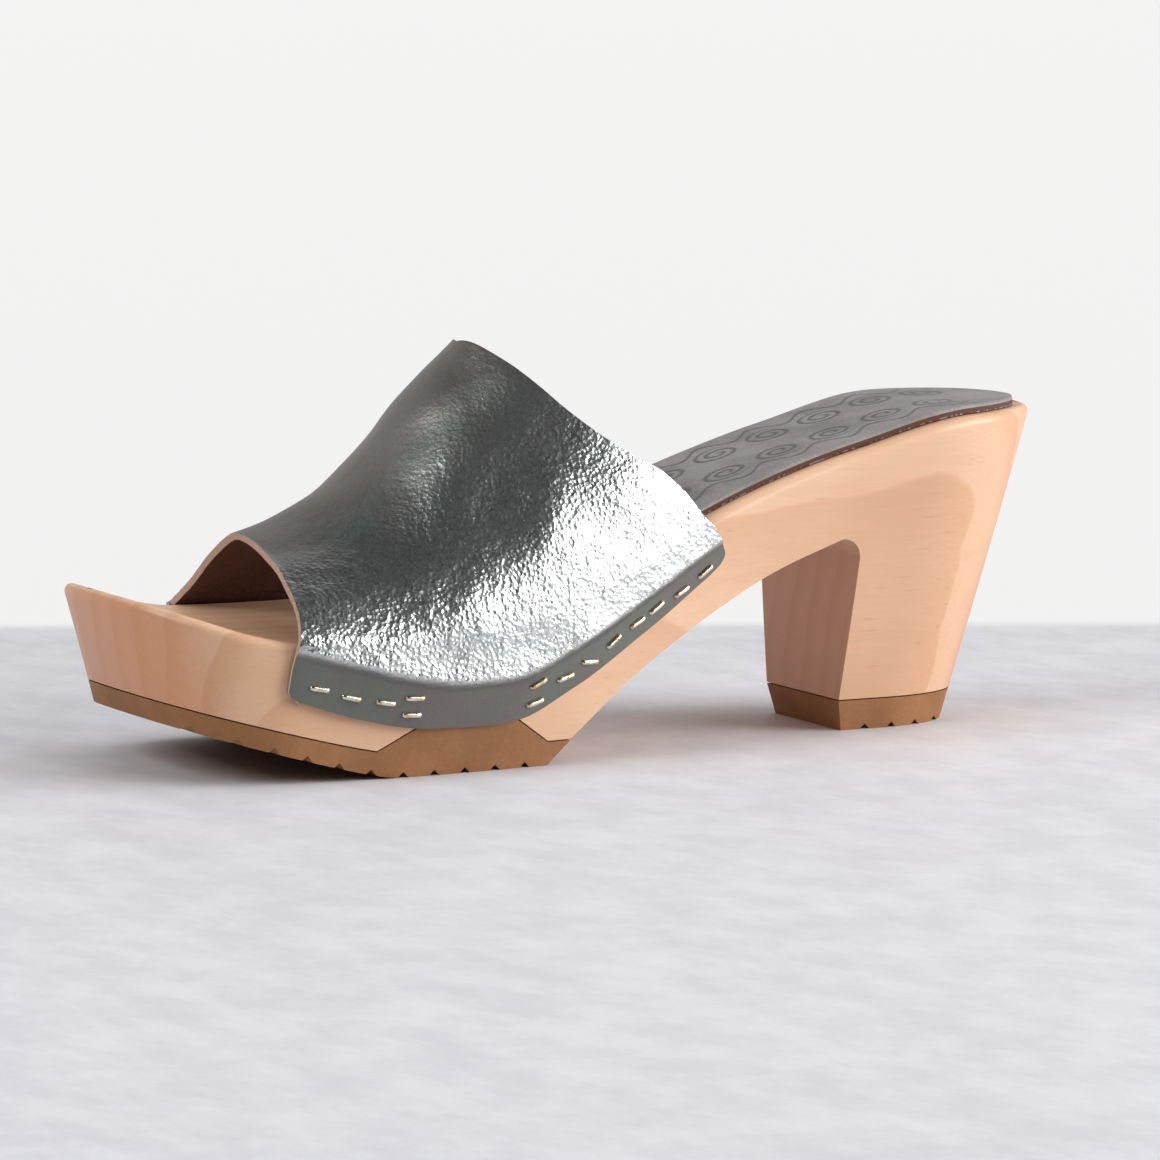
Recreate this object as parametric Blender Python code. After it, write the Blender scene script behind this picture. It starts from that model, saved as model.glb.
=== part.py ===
"""Heeled clog mule, left shoe, at its real size in metres.

A drafted wooden sole blank is worked out from a table of sections. Side profiles cut it into
the toe block, the heel block, the rubber forefoot tread and the rubber top lift. A leather band
wraps the sides of the wood as one open shell, and a thin leather sock lies on the footbed.

Shoe coordinates: u runs from the heel's rearmost point to the toe, w runs to the wearer's left
(the outer side of this shoe) and z runs up. In the world the toe points to -Y and w is +X.
"""

import math
from collections import namedtuple

import bpy
import numpy as np

# Wooden sole
SOLE_LENGTH = 0.2348
BALL_WIDTH = 0.0826
HEEL_WIDTH = 0.0570
HEEL_SEAT_HEIGHT = 0.0726
BALL_SEAT_HEIGHT = 0.0302
TOE_RIM_HEIGHT = 0.0404
RIM_RADIUS = 0.0022
FOOTBED_DISH = 0.0004
HEEL_END_DEPTH = 0.036
TOE_END_DEPTH = 0.037
HEEL_SQUARENESS = 2.0
TOE_SQUARENESS = 2.4
SIDE_DRAFT = 0.0121
DRAFT_CURVE = 1.25
HEEL_LEAN = 0.30
HEEL_LEAN_REACH = 0.062
TOE_UNDERCUT = 0.33
TOE_UNDERCUT_REACH = 0.040

# Heel pillar and the arch behind the ball
HEEL_FRONT = 0.0568
HEEL_FRONT_SLANT = 0.045
ARCH_HEIGHT = 0.0452
ARCH_RADIUS = 0.0048
SHANK_FOOT = 0.1333

# Rubber tread, top lift and flex wedge
TREAD_THICKNESS = 0.0055
TOE_TREAD_THICKNESS = 0.0047
LIFT_THICKNESS = 0.0073
LIFT_FRONT_SLANT = 0.20
TREAD_REAR = 0.1393
SPRING_START = 0.1748
SPRING_SLOPE = 0.295
SPRING_RADIUS = 0.008
WEDGE_REAR = 0.1393
WEDGE_FRONT = 0.1821
WEDGE_APEX = 0.1578
WEDGE_DEPTH = 0.0130
GROOVE_PITCH = 0.0076
GROOVE_WIDTH = 0.0026
GROOVE_DEPTH = 0.0013
LIFT_GROOVE_PITCH = 0.0070

# Leather upper
LEATHER = 0.0018
THROAT_APEX = 0.1448
INSTEP_HEIGHT = 0.0914
PEEP_EDGE = 0.1977
PEEP_HEIGHT = 0.0509
PEEP_SWEEP = 0.0044
BAND_REAR = 0.0920
SIDE_LAP = 0.0206
REAR_CORNER = 0.0050
FRONT_CORNER = 0.0030
CREST_OFFSET = 0.0010
CREST_SHARPNESS = 1.7
ARCH_SHARE = 0.78

# Leather sock on the footbed
INSOLE_THICKNESS = 0.0020
INSOLE_MARGIN = 0.0042
INSOLE_REAR = 0.0040
INSOLE_FRONT = 0.1338

# Clearance where two pieces meet
FIT_GAP = 0.0003

# Steps of the faceted surfaces
END_STEPS = 9
SIDE_STEPS = 17
LEVEL_STEPS = 6
RIM_STEPS = 3
BED_STEPS = 6
BAND_LENGTH_STEPS = 22
BAND_ROUND_STEPS = 19
CURVE_STEPS = 10
BLANK_FOOT = -0.004
CUTTER_REACH = 0.060

# Half widths run from the heel's (0) to the ball's (1), heights from the ball seat (0) to the
# heel seat or the toe rim (1). The station is a share of the sole's length.
SoleSection = namedtuple("SoleSection", "station outer inner draft rise spring")
SOLE_SECTIONS = (
    SoleSection(0.000, 0.00, 0.00, 1.00, 1.000, 0.00),
    SoleSection(0.110, 0.00, 0.00, 1.00, 0.985, 0.00),
    SoleSection(0.241, 0.00, -0.07, 1.00, 0.825, 0.00),
    SoleSection(0.317, 0.06, -0.13, 0.82, 0.705, 0.00),
    SoleSection(0.402, 0.21, -0.07, 0.50, 0.535, 0.00),
    SoleSection(0.487, 0.49, 0.20, 0.35, 0.325, 0.00),
    SoleSection(0.570, 0.76, 0.55, 0.25, 0.127, 0.00),
    SoleSection(0.653, 0.92, 0.82, 0.20, 0.020, 0.00),
    SoleSection(0.754, 1.00, 1.00, 0.17, 0.000, 0.00),
    SoleSection(0.846, 0.98, 0.90, 0.17, 0.000, 0.05),
    SoleSection(0.897, 0.98, 0.86, 0.17, 0.000, 0.26),
    SoleSection(0.945, 0.98, 0.82, 0.17, 0.000, 0.60),
    SoleSection(1.000, 0.98, 0.80, 0.17, 0.000, 1.00),
)

# The shank's lower edge, from the foot at the ball (0) back to the arch's top (1).
ShankPoint = namedtuple("ShankPoint", "run rise")
SHANK_LINE = (
    ShankPoint(0.00, 0.00),
    ShankPoint(0.24, 0.33),
    ShankPoint(0.53, 0.64),
    ShankPoint(0.76, 0.845),
    ShankPoint(1.00, 1.00),
)

# The upper's crest, from the throat's apex (0) to the peep edge (1). Behind the apex it is the
# instep that the open throat leaves free.
CrestPoint = namedtuple("CrestPoint", "run height")
CREST_LINE = (
    CrestPoint(-1.00, 1.91),
    CrestPoint(-0.55, 1.58),
    CrestPoint(-0.25, 1.28),
    CrestPoint(0.00, 1.00),
    CrestPoint(0.21, 0.74),
    CrestPoint(0.42, 0.42),
    CrestPoint(0.62, 0.205),
    CrestPoint(0.83, 0.065),
    CrestPoint(1.00, 0.00),
)

# How full the arch of each section is, outer and inner side, over the same run as the crest.
FullPoint = namedtuple("FullPoint", "run outer inner")
ARCH_FULLNESS = (
    FullPoint(-1.00, 0.72, 0.72),
    FullPoint(0.00, 0.72, 0.76),
    FullPoint(0.50, 0.70, 0.90),
    FullPoint(1.00, 0.59, 1.18),
)

# The band's edges by the way round from the crest (0) to the lower edge (1): how far the
# throat edge runs back towards the rear corner, and how far the peep edge is swept forward.
EdgePoint = namedtuple("EdgePoint", "round throat outer_peep inner_peep")
BAND_EDGES = (
    EdgePoint(0.00, 0.000, 0.00, 0.00),
    EdgePoint(0.12, 0.057, 0.08, -0.35),
    EdgePoint(0.23, 0.140, 0.21, -0.46),
    EdgePoint(0.33, 0.246, 0.34, -0.48),
    EdgePoint(0.43, 0.385, 0.47, -0.42),
    EdgePoint(0.52, 0.549, 0.55, -0.33),
    EdgePoint(0.58, 0.680, 0.62, -0.26),
    EdgePoint(0.66, 0.797, 0.76, -0.20),
    EdgePoint(0.78, 0.900, 0.93, -0.12),
    EdgePoint(0.90, 0.965, 1.30, 0.10),
    EdgePoint(1.00, 1.000, 1.50, 0.20),
)

# How deep the band laps down the side of the wood, as a share of SIDE_LAP.
LapPoint = namedtuple("LapPoint", "station lap")
SIDE_LAPS = (
    LapPoint(0.387, 0.54),
    LapPoint(0.467, 0.73),
    LapPoint(0.568, 0.89),
    LapPoint(0.628, 1.00),
    LapPoint(0.734, 0.94),
    LapPoint(0.799, 0.80),
    LapPoint(0.859, 0.60),
)

Finish = namedtuple("Finish", "color roughness metallic")
WOOD = Finish((0.85, 0.58, 0.38, 1.0), 0.45, 0.0)
RUBBER = Finish((0.35, 0.15, 0.055, 1.0), 0.75, 0.0)
FOIL_LEATHER = Finish((0.14, 0.145, 0.14, 1.0), 0.35, 0.9)
SOCK_LEATHER = Finish((0.20, 0.20, 0.20, 1.0), 0.60, 0.0)


def smooth_column(rows, key, value, at):
    """Monotone cubic through the rows of a table: value as a function of key, held at the ends."""
    x = np.array([getattr(row, key) for row in rows], dtype=float)
    y = np.array([getattr(row, value) for row in rows], dtype=float)
    step = np.diff(x)
    slope = np.diff(y) / step
    same_way = slope[:-1] * slope[1:] > 0
    total = np.where(same_way, slope[:-1] + slope[1:], 1.0)
    inside = np.where(same_way, 2 * slope[:-1] * slope[1:] / total, 0.0)
    tangent = np.concatenate((slope[:1], inside, slope[-1:]))
    at = np.clip(np.asarray(at, dtype=float), x[0], x[-1])
    cell = np.clip(np.searchsorted(x, at, side="right") - 1, 0, len(step) - 1)
    t = (at - x[cell]) / step[cell]
    rise = y[cell] * (1 + 2 * t) * (1 - t) ** 2 + y[cell + 1] * t * t * (3 - 2 * t)
    bend = tangent[cell] * t * (1 - t) ** 2 - tangent[cell + 1] * t * t * (1 - t)
    return rise + bend * step[cell]


def sole_column(name, u):
    """A column of the sole's sections at distance u from the heel's rear."""
    return smooth_column(SOLE_SECTIONS, "station", name, np.asarray(u) / SOLE_LENGTH)


def rim_height(u):
    """Height of the footbed's edge."""
    heel = sole_column("rise", u) * (HEEL_SEAT_HEIGHT - BALL_SEAT_HEIGHT)
    toe = sole_column("spring", u) * (TOE_RIM_HEIGHT - BALL_SEAT_HEIGHT)
    return BALL_SEAT_HEIGHT + heel + toe


def end_taper(u):
    """Superellipse factor that rounds the plan at the heel and the toe."""
    behind = np.clip((HEEL_END_DEPTH - u) / HEEL_END_DEPTH, 0.0, 1.0)
    ahead = np.clip((u - SOLE_LENGTH + TOE_END_DEPTH) / TOE_END_DEPTH, 0.0, 1.0)
    heel = (1.0 - behind ** HEEL_SQUARENESS) ** (1.0 / HEEL_SQUARENESS)
    toe = (1.0 - ahead ** TOE_SQUARENESS) ** (1.0 / TOE_SQUARENESS)
    return heel * toe


def rim_half_width(u, side):
    """Half width of the rim on the outer (+1) or inner (-1) side of the shoe."""
    share = sole_column("outer" if side > 0 else "inner", u)
    return 0.5 * (HEEL_WIDTH + (BALL_WIDTH - HEEL_WIDTH) * share) * end_taper(u)


def side_inset(u, z):
    """How far the side has drawn in at height z, from the section's draft."""
    depth = np.clip((rim_height(u) - z) / rim_height(u), 0.0, None)
    return SIDE_DRAFT * sole_column("draft", u) * depth ** DRAFT_CURVE


def side_half_width(u, z, side):
    """Half width of the blank at height z."""
    return rim_half_width(u, side) - side_inset(u, z) * end_taper(u)


def end_shift(u, z):
    """Forward lean of the heel's rear and undercut of the toe at height z."""
    below = rim_height(u) - z
    behind = np.clip(1.0 - u / HEEL_LEAN_REACH, 0.0, 1.0)
    ahead = np.clip(1.0 - (SOLE_LENGTH - u) / TOE_UNDERCUT_REACH, 0.0, 1.0)
    return below * (HEEL_LEAN * behind - TOE_UNDERCUT * ahead ** 2)


def sole_stations():
    """Distances u of the rings' points: close together at the rounded ends."""
    turn = np.linspace(0.0, math.pi / 2, END_STEPS + 1)
    heel = HEEL_END_DEPTH * (1.0 - np.cos(turn))
    toe = SOLE_LENGTH - TOE_END_DEPTH * (1.0 - np.cos(turn[::-1]))
    between = np.linspace(HEEL_END_DEPTH, SOLE_LENGTH - TOE_END_DEPTH, SIDE_STEPS + 2)[1:-1]
    return np.concatenate((heel, between, toe))


def ring(level, inset, drop):
    """One closed ring of the blank: outer side heel to toe, then inner side back to the heel.

    The level runs from the blank's foot (0) to the rim (1), inset moves the ring inwards along
    its own plan normal and drop lowers it.
    """
    u = sole_stations()
    z = BLANK_FOOT + (rim_height(u) - drop - BLANK_FOOT) * level
    outer = np.stack((u + end_shift(u, z), side_half_width(u, z, 1), z), axis=1)
    inner = np.stack((u + end_shift(u, z), -side_half_width(u, z, -1), z), axis=1)
    points = np.concatenate((outer, inner[-2:0:-1]))
    along = np.roll(points, -1, axis=0) - np.roll(points, 1, axis=0)
    across = np.stack((along[:, 1], -along[:, 0]), axis=1)
    across /= np.linalg.norm(across, axis=1, keepdims=True)
    points[:, :2] += across * inset
    return points


def cap_rows(points, dish):
    """Rows of points across a ring, from its outer to its inner side, sunk by the dish."""
    count = len(points) // 2
    outer = points[1:count]
    inner = points[:count:-1]
    across = np.linspace(0.0, 1.0, BED_STEPS + 1)[1:-1]
    rows = outer[:, None] + (inner - outer)[:, None] * across[None, :, None]
    rows[:, :, 2] -= dish * 4.0 * across * (1.0 - across)
    return rows


def cap_faces(count, first_ring, first_row):
    """Faces that close a ring of count points with its cap rows, seen from above."""
    half = count // 2
    steps = BED_STEPS - 1

    def vertex(station, column):
        if station == 0 or station == half:
            return first_ring + station
        if column == 0:
            return first_ring + station
        if column == BED_STEPS:
            return first_ring + count - station
        return first_row + (station - 1) * steps + column - 1

    faces = []
    for station in range(half):
        for column in range(BED_STEPS):
            corners = (
                vertex(station, column),
                vertex(station + 1, column),
                vertex(station + 1, column + 1),
                vertex(station, column + 1),
            )
            faces.append(tuple(dict.fromkeys(corners)))
    return faces


def band_faces(rows, columns, first, closed):
    """Quads of a grid of rows by columns, closed around its columns where asked."""
    faces = []
    for row in range(rows - 1):
        for column in range(columns if closed else columns - 1):
            here = first + row * columns
            above = here + columns
            after = (column + 1) % columns
            faces.append((here + column, here + after, above + after, above + column))
    return faces


def to_world(points):
    """Shoe coordinates (u, w, z) to world coordinates, origin under the middle of the sole."""
    return np.stack((points[:, 1], 0.5 * SOLE_LENGTH - points[:, 0], points[:, 2]), axis=1)


def mesh_object(name, points, faces, finish):
    """An object from points in shoe coordinates, with its own material."""
    mesh = bpy.data.meshes.new(name)
    mesh.from_pydata(to_world(np.asarray(points)).tolist(), [], faces)
    mesh.validate()
    made = bpy.data.objects.new(name, mesh)
    bpy.context.scene.collection.objects.link(made)
    material = bpy.data.materials.new(name)
    material.use_nodes = True
    shader = material.node_tree.nodes["Principled BSDF"]
    shader.inputs["Base Color"].default_value = finish.color
    shader.inputs["Roughness"].default_value = finish.roughness
    shader.inputs["Metallic"].default_value = finish.metallic
    mesh.materials.append(material)
    mesh.shade_smooth()
    mesh.set_sharp_from_angle(angle=math.radians(35))
    return made


def sole_blank(name, finish):
    """The drafted sole blank: rings up the side, a rounded rim and a dished footbed."""
    turns = np.linspace(0.0, math.pi / 2, RIM_STEPS + 1)[1:]
    rings = [ring(level, 0.0, RIM_RADIUS) for level in np.linspace(0.0, 1.0, LEVEL_STEPS + 1)]
    for turn in turns:
        inset = RIM_RADIUS * (1.0 - math.cos(turn))
        drop = RIM_RADIUS * (1.0 - math.sin(turn))
        rings.append(ring(1.0, inset, drop))
    count = len(rings[0])
    top = cap_rows(rings[-1], FOOTBED_DISH)
    foot = cap_rows(rings[0], 0.0)
    points = np.concatenate(rings + [top.reshape(-1, 3), foot.reshape(-1, 3)])
    sides = band_faces(len(rings), count, 0, True)
    first_top = len(rings) * count
    lid = cap_faces(count, first_top - count, first_top)
    floor = [face[::-1] for face in cap_faces(count, 0, first_top + top.shape[0] * top.shape[1])]
    return mesh_object(name, points, sides + lid + floor, finish)


def tread_height(u):
    """Height of the rubber's running face: flat at the ball, rising to the toe."""
    ahead = np.clip(np.asarray(u) - SPRING_START, 0.0, None)
    return SPRING_SLOPE * (np.sqrt(ahead ** 2 + SPRING_RADIUS ** 2) - SPRING_RADIUS)


def wood_height(u):
    """Height of the wood's underside above the rubber."""
    share = np.clip((np.asarray(u) - WEDGE_FRONT) / (SOLE_LENGTH - WEDGE_FRONT), 0.0, 1.0)
    return tread_height(u) + TREAD_THICKNESS + (TOE_TREAD_THICKNESS - TREAD_THICKNESS) * share


def groove_line(start, end, pitch, height):
    """Running face from start to end with V grooves across it, one to each pitch."""
    count = int((end - start) / pitch)
    first = start + 0.5 * (end - start - (count - 1) * pitch)
    line = [(start, height(start))]
    for number in range(count):
        middle = first + number * pitch
        before = middle - 0.5 * GROOVE_WIDTH
        after = middle + 0.5 * GROOVE_WIDTH
        line.append((before, height(before)))
        line.append((middle, height(middle) + GROOVE_DEPTH))
        line.append((after, height(after)))
    line.append((end, height(end)))
    return line


def heel_front(z):
    """Distance u of the heel pillar's front face at height z."""
    return HEEL_FRONT - HEEL_FRONT_SLANT * z


def shank_edge():
    """The shank's lower edge from the ball back, over the arch and down the heel's front."""
    run = SHANK_FOOT - heel_front(ARCH_HEIGHT) - ARCH_RADIUS
    rise = ARCH_HEIGHT - TREAD_THICKNESS
    shares = np.linspace(0.0, 1.0, CURVE_STEPS + 1)
    heights = TREAD_THICKNESS + rise * smooth_column(SHANK_LINE, "run", "rise", shares)
    edge = [(SHANK_FOOT - run * share, height) for share, height in zip(shares, heights)]
    middle = edge[-1][0]
    for turn in np.linspace(math.pi / 2, math.pi, 6)[1:]:
        drop = ARCH_RADIUS * (1.0 - math.sin(turn))
        edge.append((middle + ARCH_RADIUS * math.cos(turn), ARCH_HEIGHT - drop))
    return edge


def heel_block_profile():
    """Side profile of the wood from the heel to the flex line."""
    edge = [(-CUTTER_REACH, LIFT_THICKNESS), (heel_front(LIFT_THICKNESS), LIFT_THICKNESS)]
    edge += shank_edge()[::-1]
    edge.append((WEDGE_REAR, TREAD_THICKNESS))
    edge.append((WEDGE_APEX - 0.5 * FIT_GAP, TREAD_THICKNESS + WEDGE_DEPTH))
    edge.append((WEDGE_APEX - 0.5 * FIT_GAP, HEEL_SEAT_HEIGHT + CUTTER_REACH))
    edge.append((-CUTTER_REACH, HEEL_SEAT_HEIGHT + CUTTER_REACH))
    return edge


def toe_block_profile():
    """Side profile of the wood from the flex line to the toe."""
    front = SOLE_LENGTH + CUTTER_REACH
    edge = [(WEDGE_APEX + 0.5 * FIT_GAP, TREAD_THICKNESS + WEDGE_DEPTH)]
    for u in np.linspace(WEDGE_FRONT, SOLE_LENGTH, CURVE_STEPS + 1):
        edge.append((u, float(wood_height(u))))
    edge.append((front, float(wood_height(SOLE_LENGTH))))
    edge.append((front, HEEL_SEAT_HEIGHT + CUTTER_REACH))
    edge.append((WEDGE_APEX + 0.5 * FIT_GAP, HEEL_SEAT_HEIGHT + CUTTER_REACH))
    return edge


def tread_profile():
    """Side profile of the rubber tread with its flex wedge and grooves."""
    front = SOLE_LENGTH + CUTTER_REACH
    running = groove_line(TREAD_REAR, SOLE_LENGTH, GROOVE_PITCH, lambda u: float(tread_height(u)))
    edge = running + [(front, float(tread_height(SOLE_LENGTH)))]
    edge.append((front, float(wood_height(SOLE_LENGTH)) - FIT_GAP))
    for u in np.linspace(SOLE_LENGTH, WEDGE_FRONT, CURVE_STEPS + 1):
        edge.append((u, float(wood_height(u)) - FIT_GAP))
    edge.append((WEDGE_APEX, TREAD_THICKNESS + WEDGE_DEPTH - 1.5 * FIT_GAP))
    edge.append((WEDGE_REAR, TREAD_THICKNESS - FIT_GAP))
    edge.append((SHANK_FOOT, TREAD_THICKNESS - FIT_GAP))
    return edge


def lift_profile():
    """Side profile of the heel's rubber top lift with its grooves."""
    top = LIFT_THICKNESS - FIT_GAP
    front_top = heel_front(LIFT_THICKNESS)
    front_foot = front_top - LIFT_FRONT_SLANT * LIFT_THICKNESS
    rear = HEEL_LEAN * HEEL_SEAT_HEIGHT
    running = groove_line(rear, front_foot, LIFT_GROOVE_PITCH, lambda u: 0.0)
    return [(-CUTTER_REACH, 0.0)] + running + [(front_top, top), (-CUTTER_REACH, top)]


def cut_from_blank(name, profile, finish):
    """The part of the sole blank inside a side profile, as a solid of its own."""
    blank = sole_blank(name, finish)
    count = len(profile)
    near = [(u, -CUTTER_REACH, z) for u, z in profile]
    far = [(u, CUTTER_REACH, z) for u, z in profile]
    faces = [tuple(range(count))[::-1], tuple(range(count, 2 * count))]
    for corner in range(count):
        after = (corner + 1) % count
        faces.append((corner, after, after + count, corner + count))
    cutter = mesh_object(name + "_profile", near + far, [face[::-1] for face in faces], finish)
    cutter.hide_render = True
    cutter.display_type = "WIRE"
    cut = blank.modifiers.new("profile", "BOOLEAN")
    cut.operation = "INTERSECT"
    cut.solver = "EXACT"
    cut.object = cutter
    return blank


def crest_height(u):
    """Height of the upper's crest line."""
    run = (u - THROAT_APEX) / (PEEP_EDGE - THROAT_APEX)
    return PEEP_HEIGHT + (INSTEP_HEIGHT - PEEP_HEIGHT) * smooth_column(CREST_LINE, "run", "height", run)


def band_point(u, around, side):
    """Outer surface of the leather at distance u, around from the crest (0) to the lower edge (1).

    Above the rim the section is an arch, height = (1 - x^sharpness)^fullness over its half
    width. Below the rim it follows the wood's side.
    """
    run = (u - THROAT_APEX) / (PEEP_EDGE - THROAT_APEX)
    fullness = smooth_column(ARCH_FULLNESS, "run", "outer" if side > 0 else "inner", run)
    rim = rim_height(u)
    cover = FIT_GAP + LEATHER
    turn = np.clip(around / ARCH_SHARE, 0.0, 1.0) * math.pi / 2
    half = rim_half_width(u, side) + cover - side * CREST_OFFSET
    out = np.sin(turn)
    arch_w = side * out * half + CREST_OFFSET
    arch_z = rim + (crest_height(u) - rim) * (1.0 - out ** CREST_SHARPNESS) ** fullness
    lap = SIDE_LAP * smooth_column(SIDE_LAPS, "station", "lap", u / SOLE_LENGTH)
    down = np.clip((around - ARCH_SHARE) / (1.0 - ARCH_SHARE), 0.0, 1.0)
    side_z = rim - lap * down
    side_w = side * (side_half_width(u, side_z, side) + cover)
    on_arch = around <= ARCH_SHARE
    w = np.where(on_arch, arch_w, side_w)
    z = np.where(on_arch, arch_z, side_z)
    return np.stack((u + end_shift(u, z) * (u > THROAT_APEX), w, z), axis=-1)


def corner_pull(around, radius, reach):
    """How far a rounded lower corner pulls the band's end back near its lower edge."""
    near = np.clip((around - 1.0 + reach) / reach, 0.0, 1.0)
    return radius * (1.0 - np.sqrt(1.0 - near ** 2))


def band_surface():
    """Outer surface of the upper as a grid: along from throat to peep, round from inner to outer."""
    around = np.linspace(0.0, 1.0, BAND_ROUND_STEPS + 1)
    along = np.linspace(0.0, 1.0, BAND_LENGTH_STEPS + 1)[:, None]
    lap_length = SIDE_LAP / (1.0 - ARCH_SHARE)
    halves = []
    for side, peep in ((-1, "inner_peep"), (1, "outer_peep")):
        back = smooth_column(BAND_EDGES, "round", "throat", around)
        sweep = smooth_column(BAND_EDGES, "round", peep, around)
        start = THROAT_APEX - (THROAT_APEX - BAND_REAR) * back
        start = start + corner_pull(around, REAR_CORNER, REAR_CORNER / lap_length)
        end = PEEP_EDGE + PEEP_SWEEP * sweep - corner_pull(around, FRONT_CORNER, FRONT_CORNER / lap_length)
        u = start + (end - start) * along
        halves.append(band_point(u, np.broadcast_to(around, u.shape), side))
    return np.concatenate((halves[0][:, :0:-1], halves[1]), axis=1)


def grid_normals(grid):
    """Unit normals of a grid of points, from the differences along and round it."""
    along = np.gradient(grid, axis=0)
    around = np.gradient(grid, axis=1)
    normal = np.cross(along, around)
    return normal / np.linalg.norm(normal, axis=-1, keepdims=True)


def shell_faces(rows, columns):
    """Faces of a closed wall between an outer grid and an inner grid of the same size."""
    count = rows * columns
    outer = band_faces(rows, columns, 0, False)
    inner = [face[::-1] for face in band_faces(rows, columns, count, False)]
    rim = [(0, column) for column in range(columns)]
    rim += [(row, columns - 1) for row in range(1, rows)]
    rim += [(rows - 1, column) for column in range(columns - 2, -1, -1)]
    rim += [(row, 0) for row in range(rows - 2, 0, -1)]
    edge = []
    for here, after in zip(rim, rim[1:] + rim[:1]):
        first = here[0] * columns + here[1]
        second = after[0] * columns + after[1]
        edge.append((second, first, first + count, second + count))
    return outer + inner + edge


def make_upper():
    """The leather band: an open shell of one wall thickness."""
    outer = band_surface()
    inner = outer - grid_normals(outer) * LEATHER
    points = np.concatenate((outer.reshape(-1, 3), inner.reshape(-1, 3)))
    rows, columns = outer.shape[:2]
    faces = [face[::-1] for face in shell_faces(rows, columns)]
    return mesh_object("upper", points, faces, FOIL_LEATHER)


def make_insole():
    """The leather sock: a thin sheet on the footbed from the heel to under the upper."""
    turn = np.linspace(0.0, math.pi / 2, END_STEPS + 1)[1:]
    depth = HEEL_END_DEPTH - INSOLE_MARGIN
    heel = INSOLE_REAR + depth * (1.0 - np.cos(turn))
    ahead = np.linspace(heel[-1], INSOLE_FRONT, SIDE_STEPS - 4)[1:]
    u = np.concatenate((heel, ahead))
    past = np.clip((INSOLE_REAR + depth - u) / depth, 0.0, 1.0)
    taper = (1.0 - past ** HEEL_SQUARENESS) ** (1.0 / HEEL_SQUARENESS)
    columns = BED_STEPS + 1
    across = np.linspace(0.0, 1.0, columns)
    full = np.clip(u, HEEL_END_DEPTH, None)
    outer = (rim_half_width(full, 1) - INSOLE_MARGIN) * taper
    inner = (rim_half_width(full, -1) - INSOLE_MARGIN) * taper
    w = outer[:, None] - (outer + inner)[:, None] * across
    share = (w + rim_half_width(u, -1)[:, None]) / (rim_half_width(u, -1) + rim_half_width(u, 1))[:, None]
    bed = rim_height(u)[:, None] - FOOTBED_DISH * 4.0 * share * (1.0 - share)
    under = np.stack((np.broadcast_to(u[:, None], w.shape), w, bed + FIT_GAP), axis=-1)
    over = under + np.array((0.0, 0.0, INSOLE_THICKNESS))
    points = np.concatenate((over.reshape(-1, 3), under.reshape(-1, 3)))
    return mesh_object("insole", points, shell_faces(len(u), columns), SOCK_LEATHER)


def main():
    """Clear the scene and make each piece."""
    for old in list(bpy.data.objects):
        bpy.data.objects.remove(old, do_unlink=True)
    cut_from_blank("wood_heel_block", heel_block_profile(), WOOD)
    cut_from_blank("wood_toe_block", toe_block_profile(), WOOD)
    cut_from_blank("tread_forefoot", tread_profile(), RUBBER)
    cut_from_blank("tread_heel", lift_profile(), RUBBER)
    make_upper()
    make_insole()


main()
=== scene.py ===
"""The looks of a heeled clog mule, left shoe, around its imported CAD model.

Shoe coordinates: u runs from the heel's rearmost point to the toe, w runs to the wearer's left
(the outer side of this shoe) and z runs up. In the world the toe points to -Y and w is +X.
"""

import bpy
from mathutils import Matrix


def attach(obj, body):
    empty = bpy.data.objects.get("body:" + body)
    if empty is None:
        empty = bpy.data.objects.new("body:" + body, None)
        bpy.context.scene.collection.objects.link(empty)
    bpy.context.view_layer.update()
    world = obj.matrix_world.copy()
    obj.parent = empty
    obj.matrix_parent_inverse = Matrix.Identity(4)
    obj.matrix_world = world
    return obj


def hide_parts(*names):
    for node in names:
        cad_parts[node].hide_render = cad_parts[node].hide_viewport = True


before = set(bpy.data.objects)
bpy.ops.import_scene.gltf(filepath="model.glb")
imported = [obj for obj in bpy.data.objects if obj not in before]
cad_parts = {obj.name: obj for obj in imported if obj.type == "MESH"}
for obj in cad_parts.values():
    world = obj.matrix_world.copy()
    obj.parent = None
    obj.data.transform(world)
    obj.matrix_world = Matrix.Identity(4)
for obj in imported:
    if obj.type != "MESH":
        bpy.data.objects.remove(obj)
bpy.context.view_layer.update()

import math
from collections import namedtuple

import bmesh
import bpy
import numpy as np
from mathutils import Vector

# Floor
# A pale grey studio floor of mottled board. It ends in a soft line behind the shoe, and a
# bright lit sheet goes on from there to the backdrop.
FLOOR_REACH = 14.0
FLOOR_LINE = 0.205
FLOOR_LINE_SOFTNESS = 0.010
FLOOR_GREY = (0.74, 0.74, 0.78, 1.0)
FLOOR_SHADE = (0.64, 0.64, 0.68, 1.0)
SHEET_GLOW = (0.83, 0.83, 0.825, 1.0)
BLACK = (0.0, 0.0, 0.0, 1.0)
VIEW_WAY = math.atan2(0.41942, -0.90706)


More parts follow.
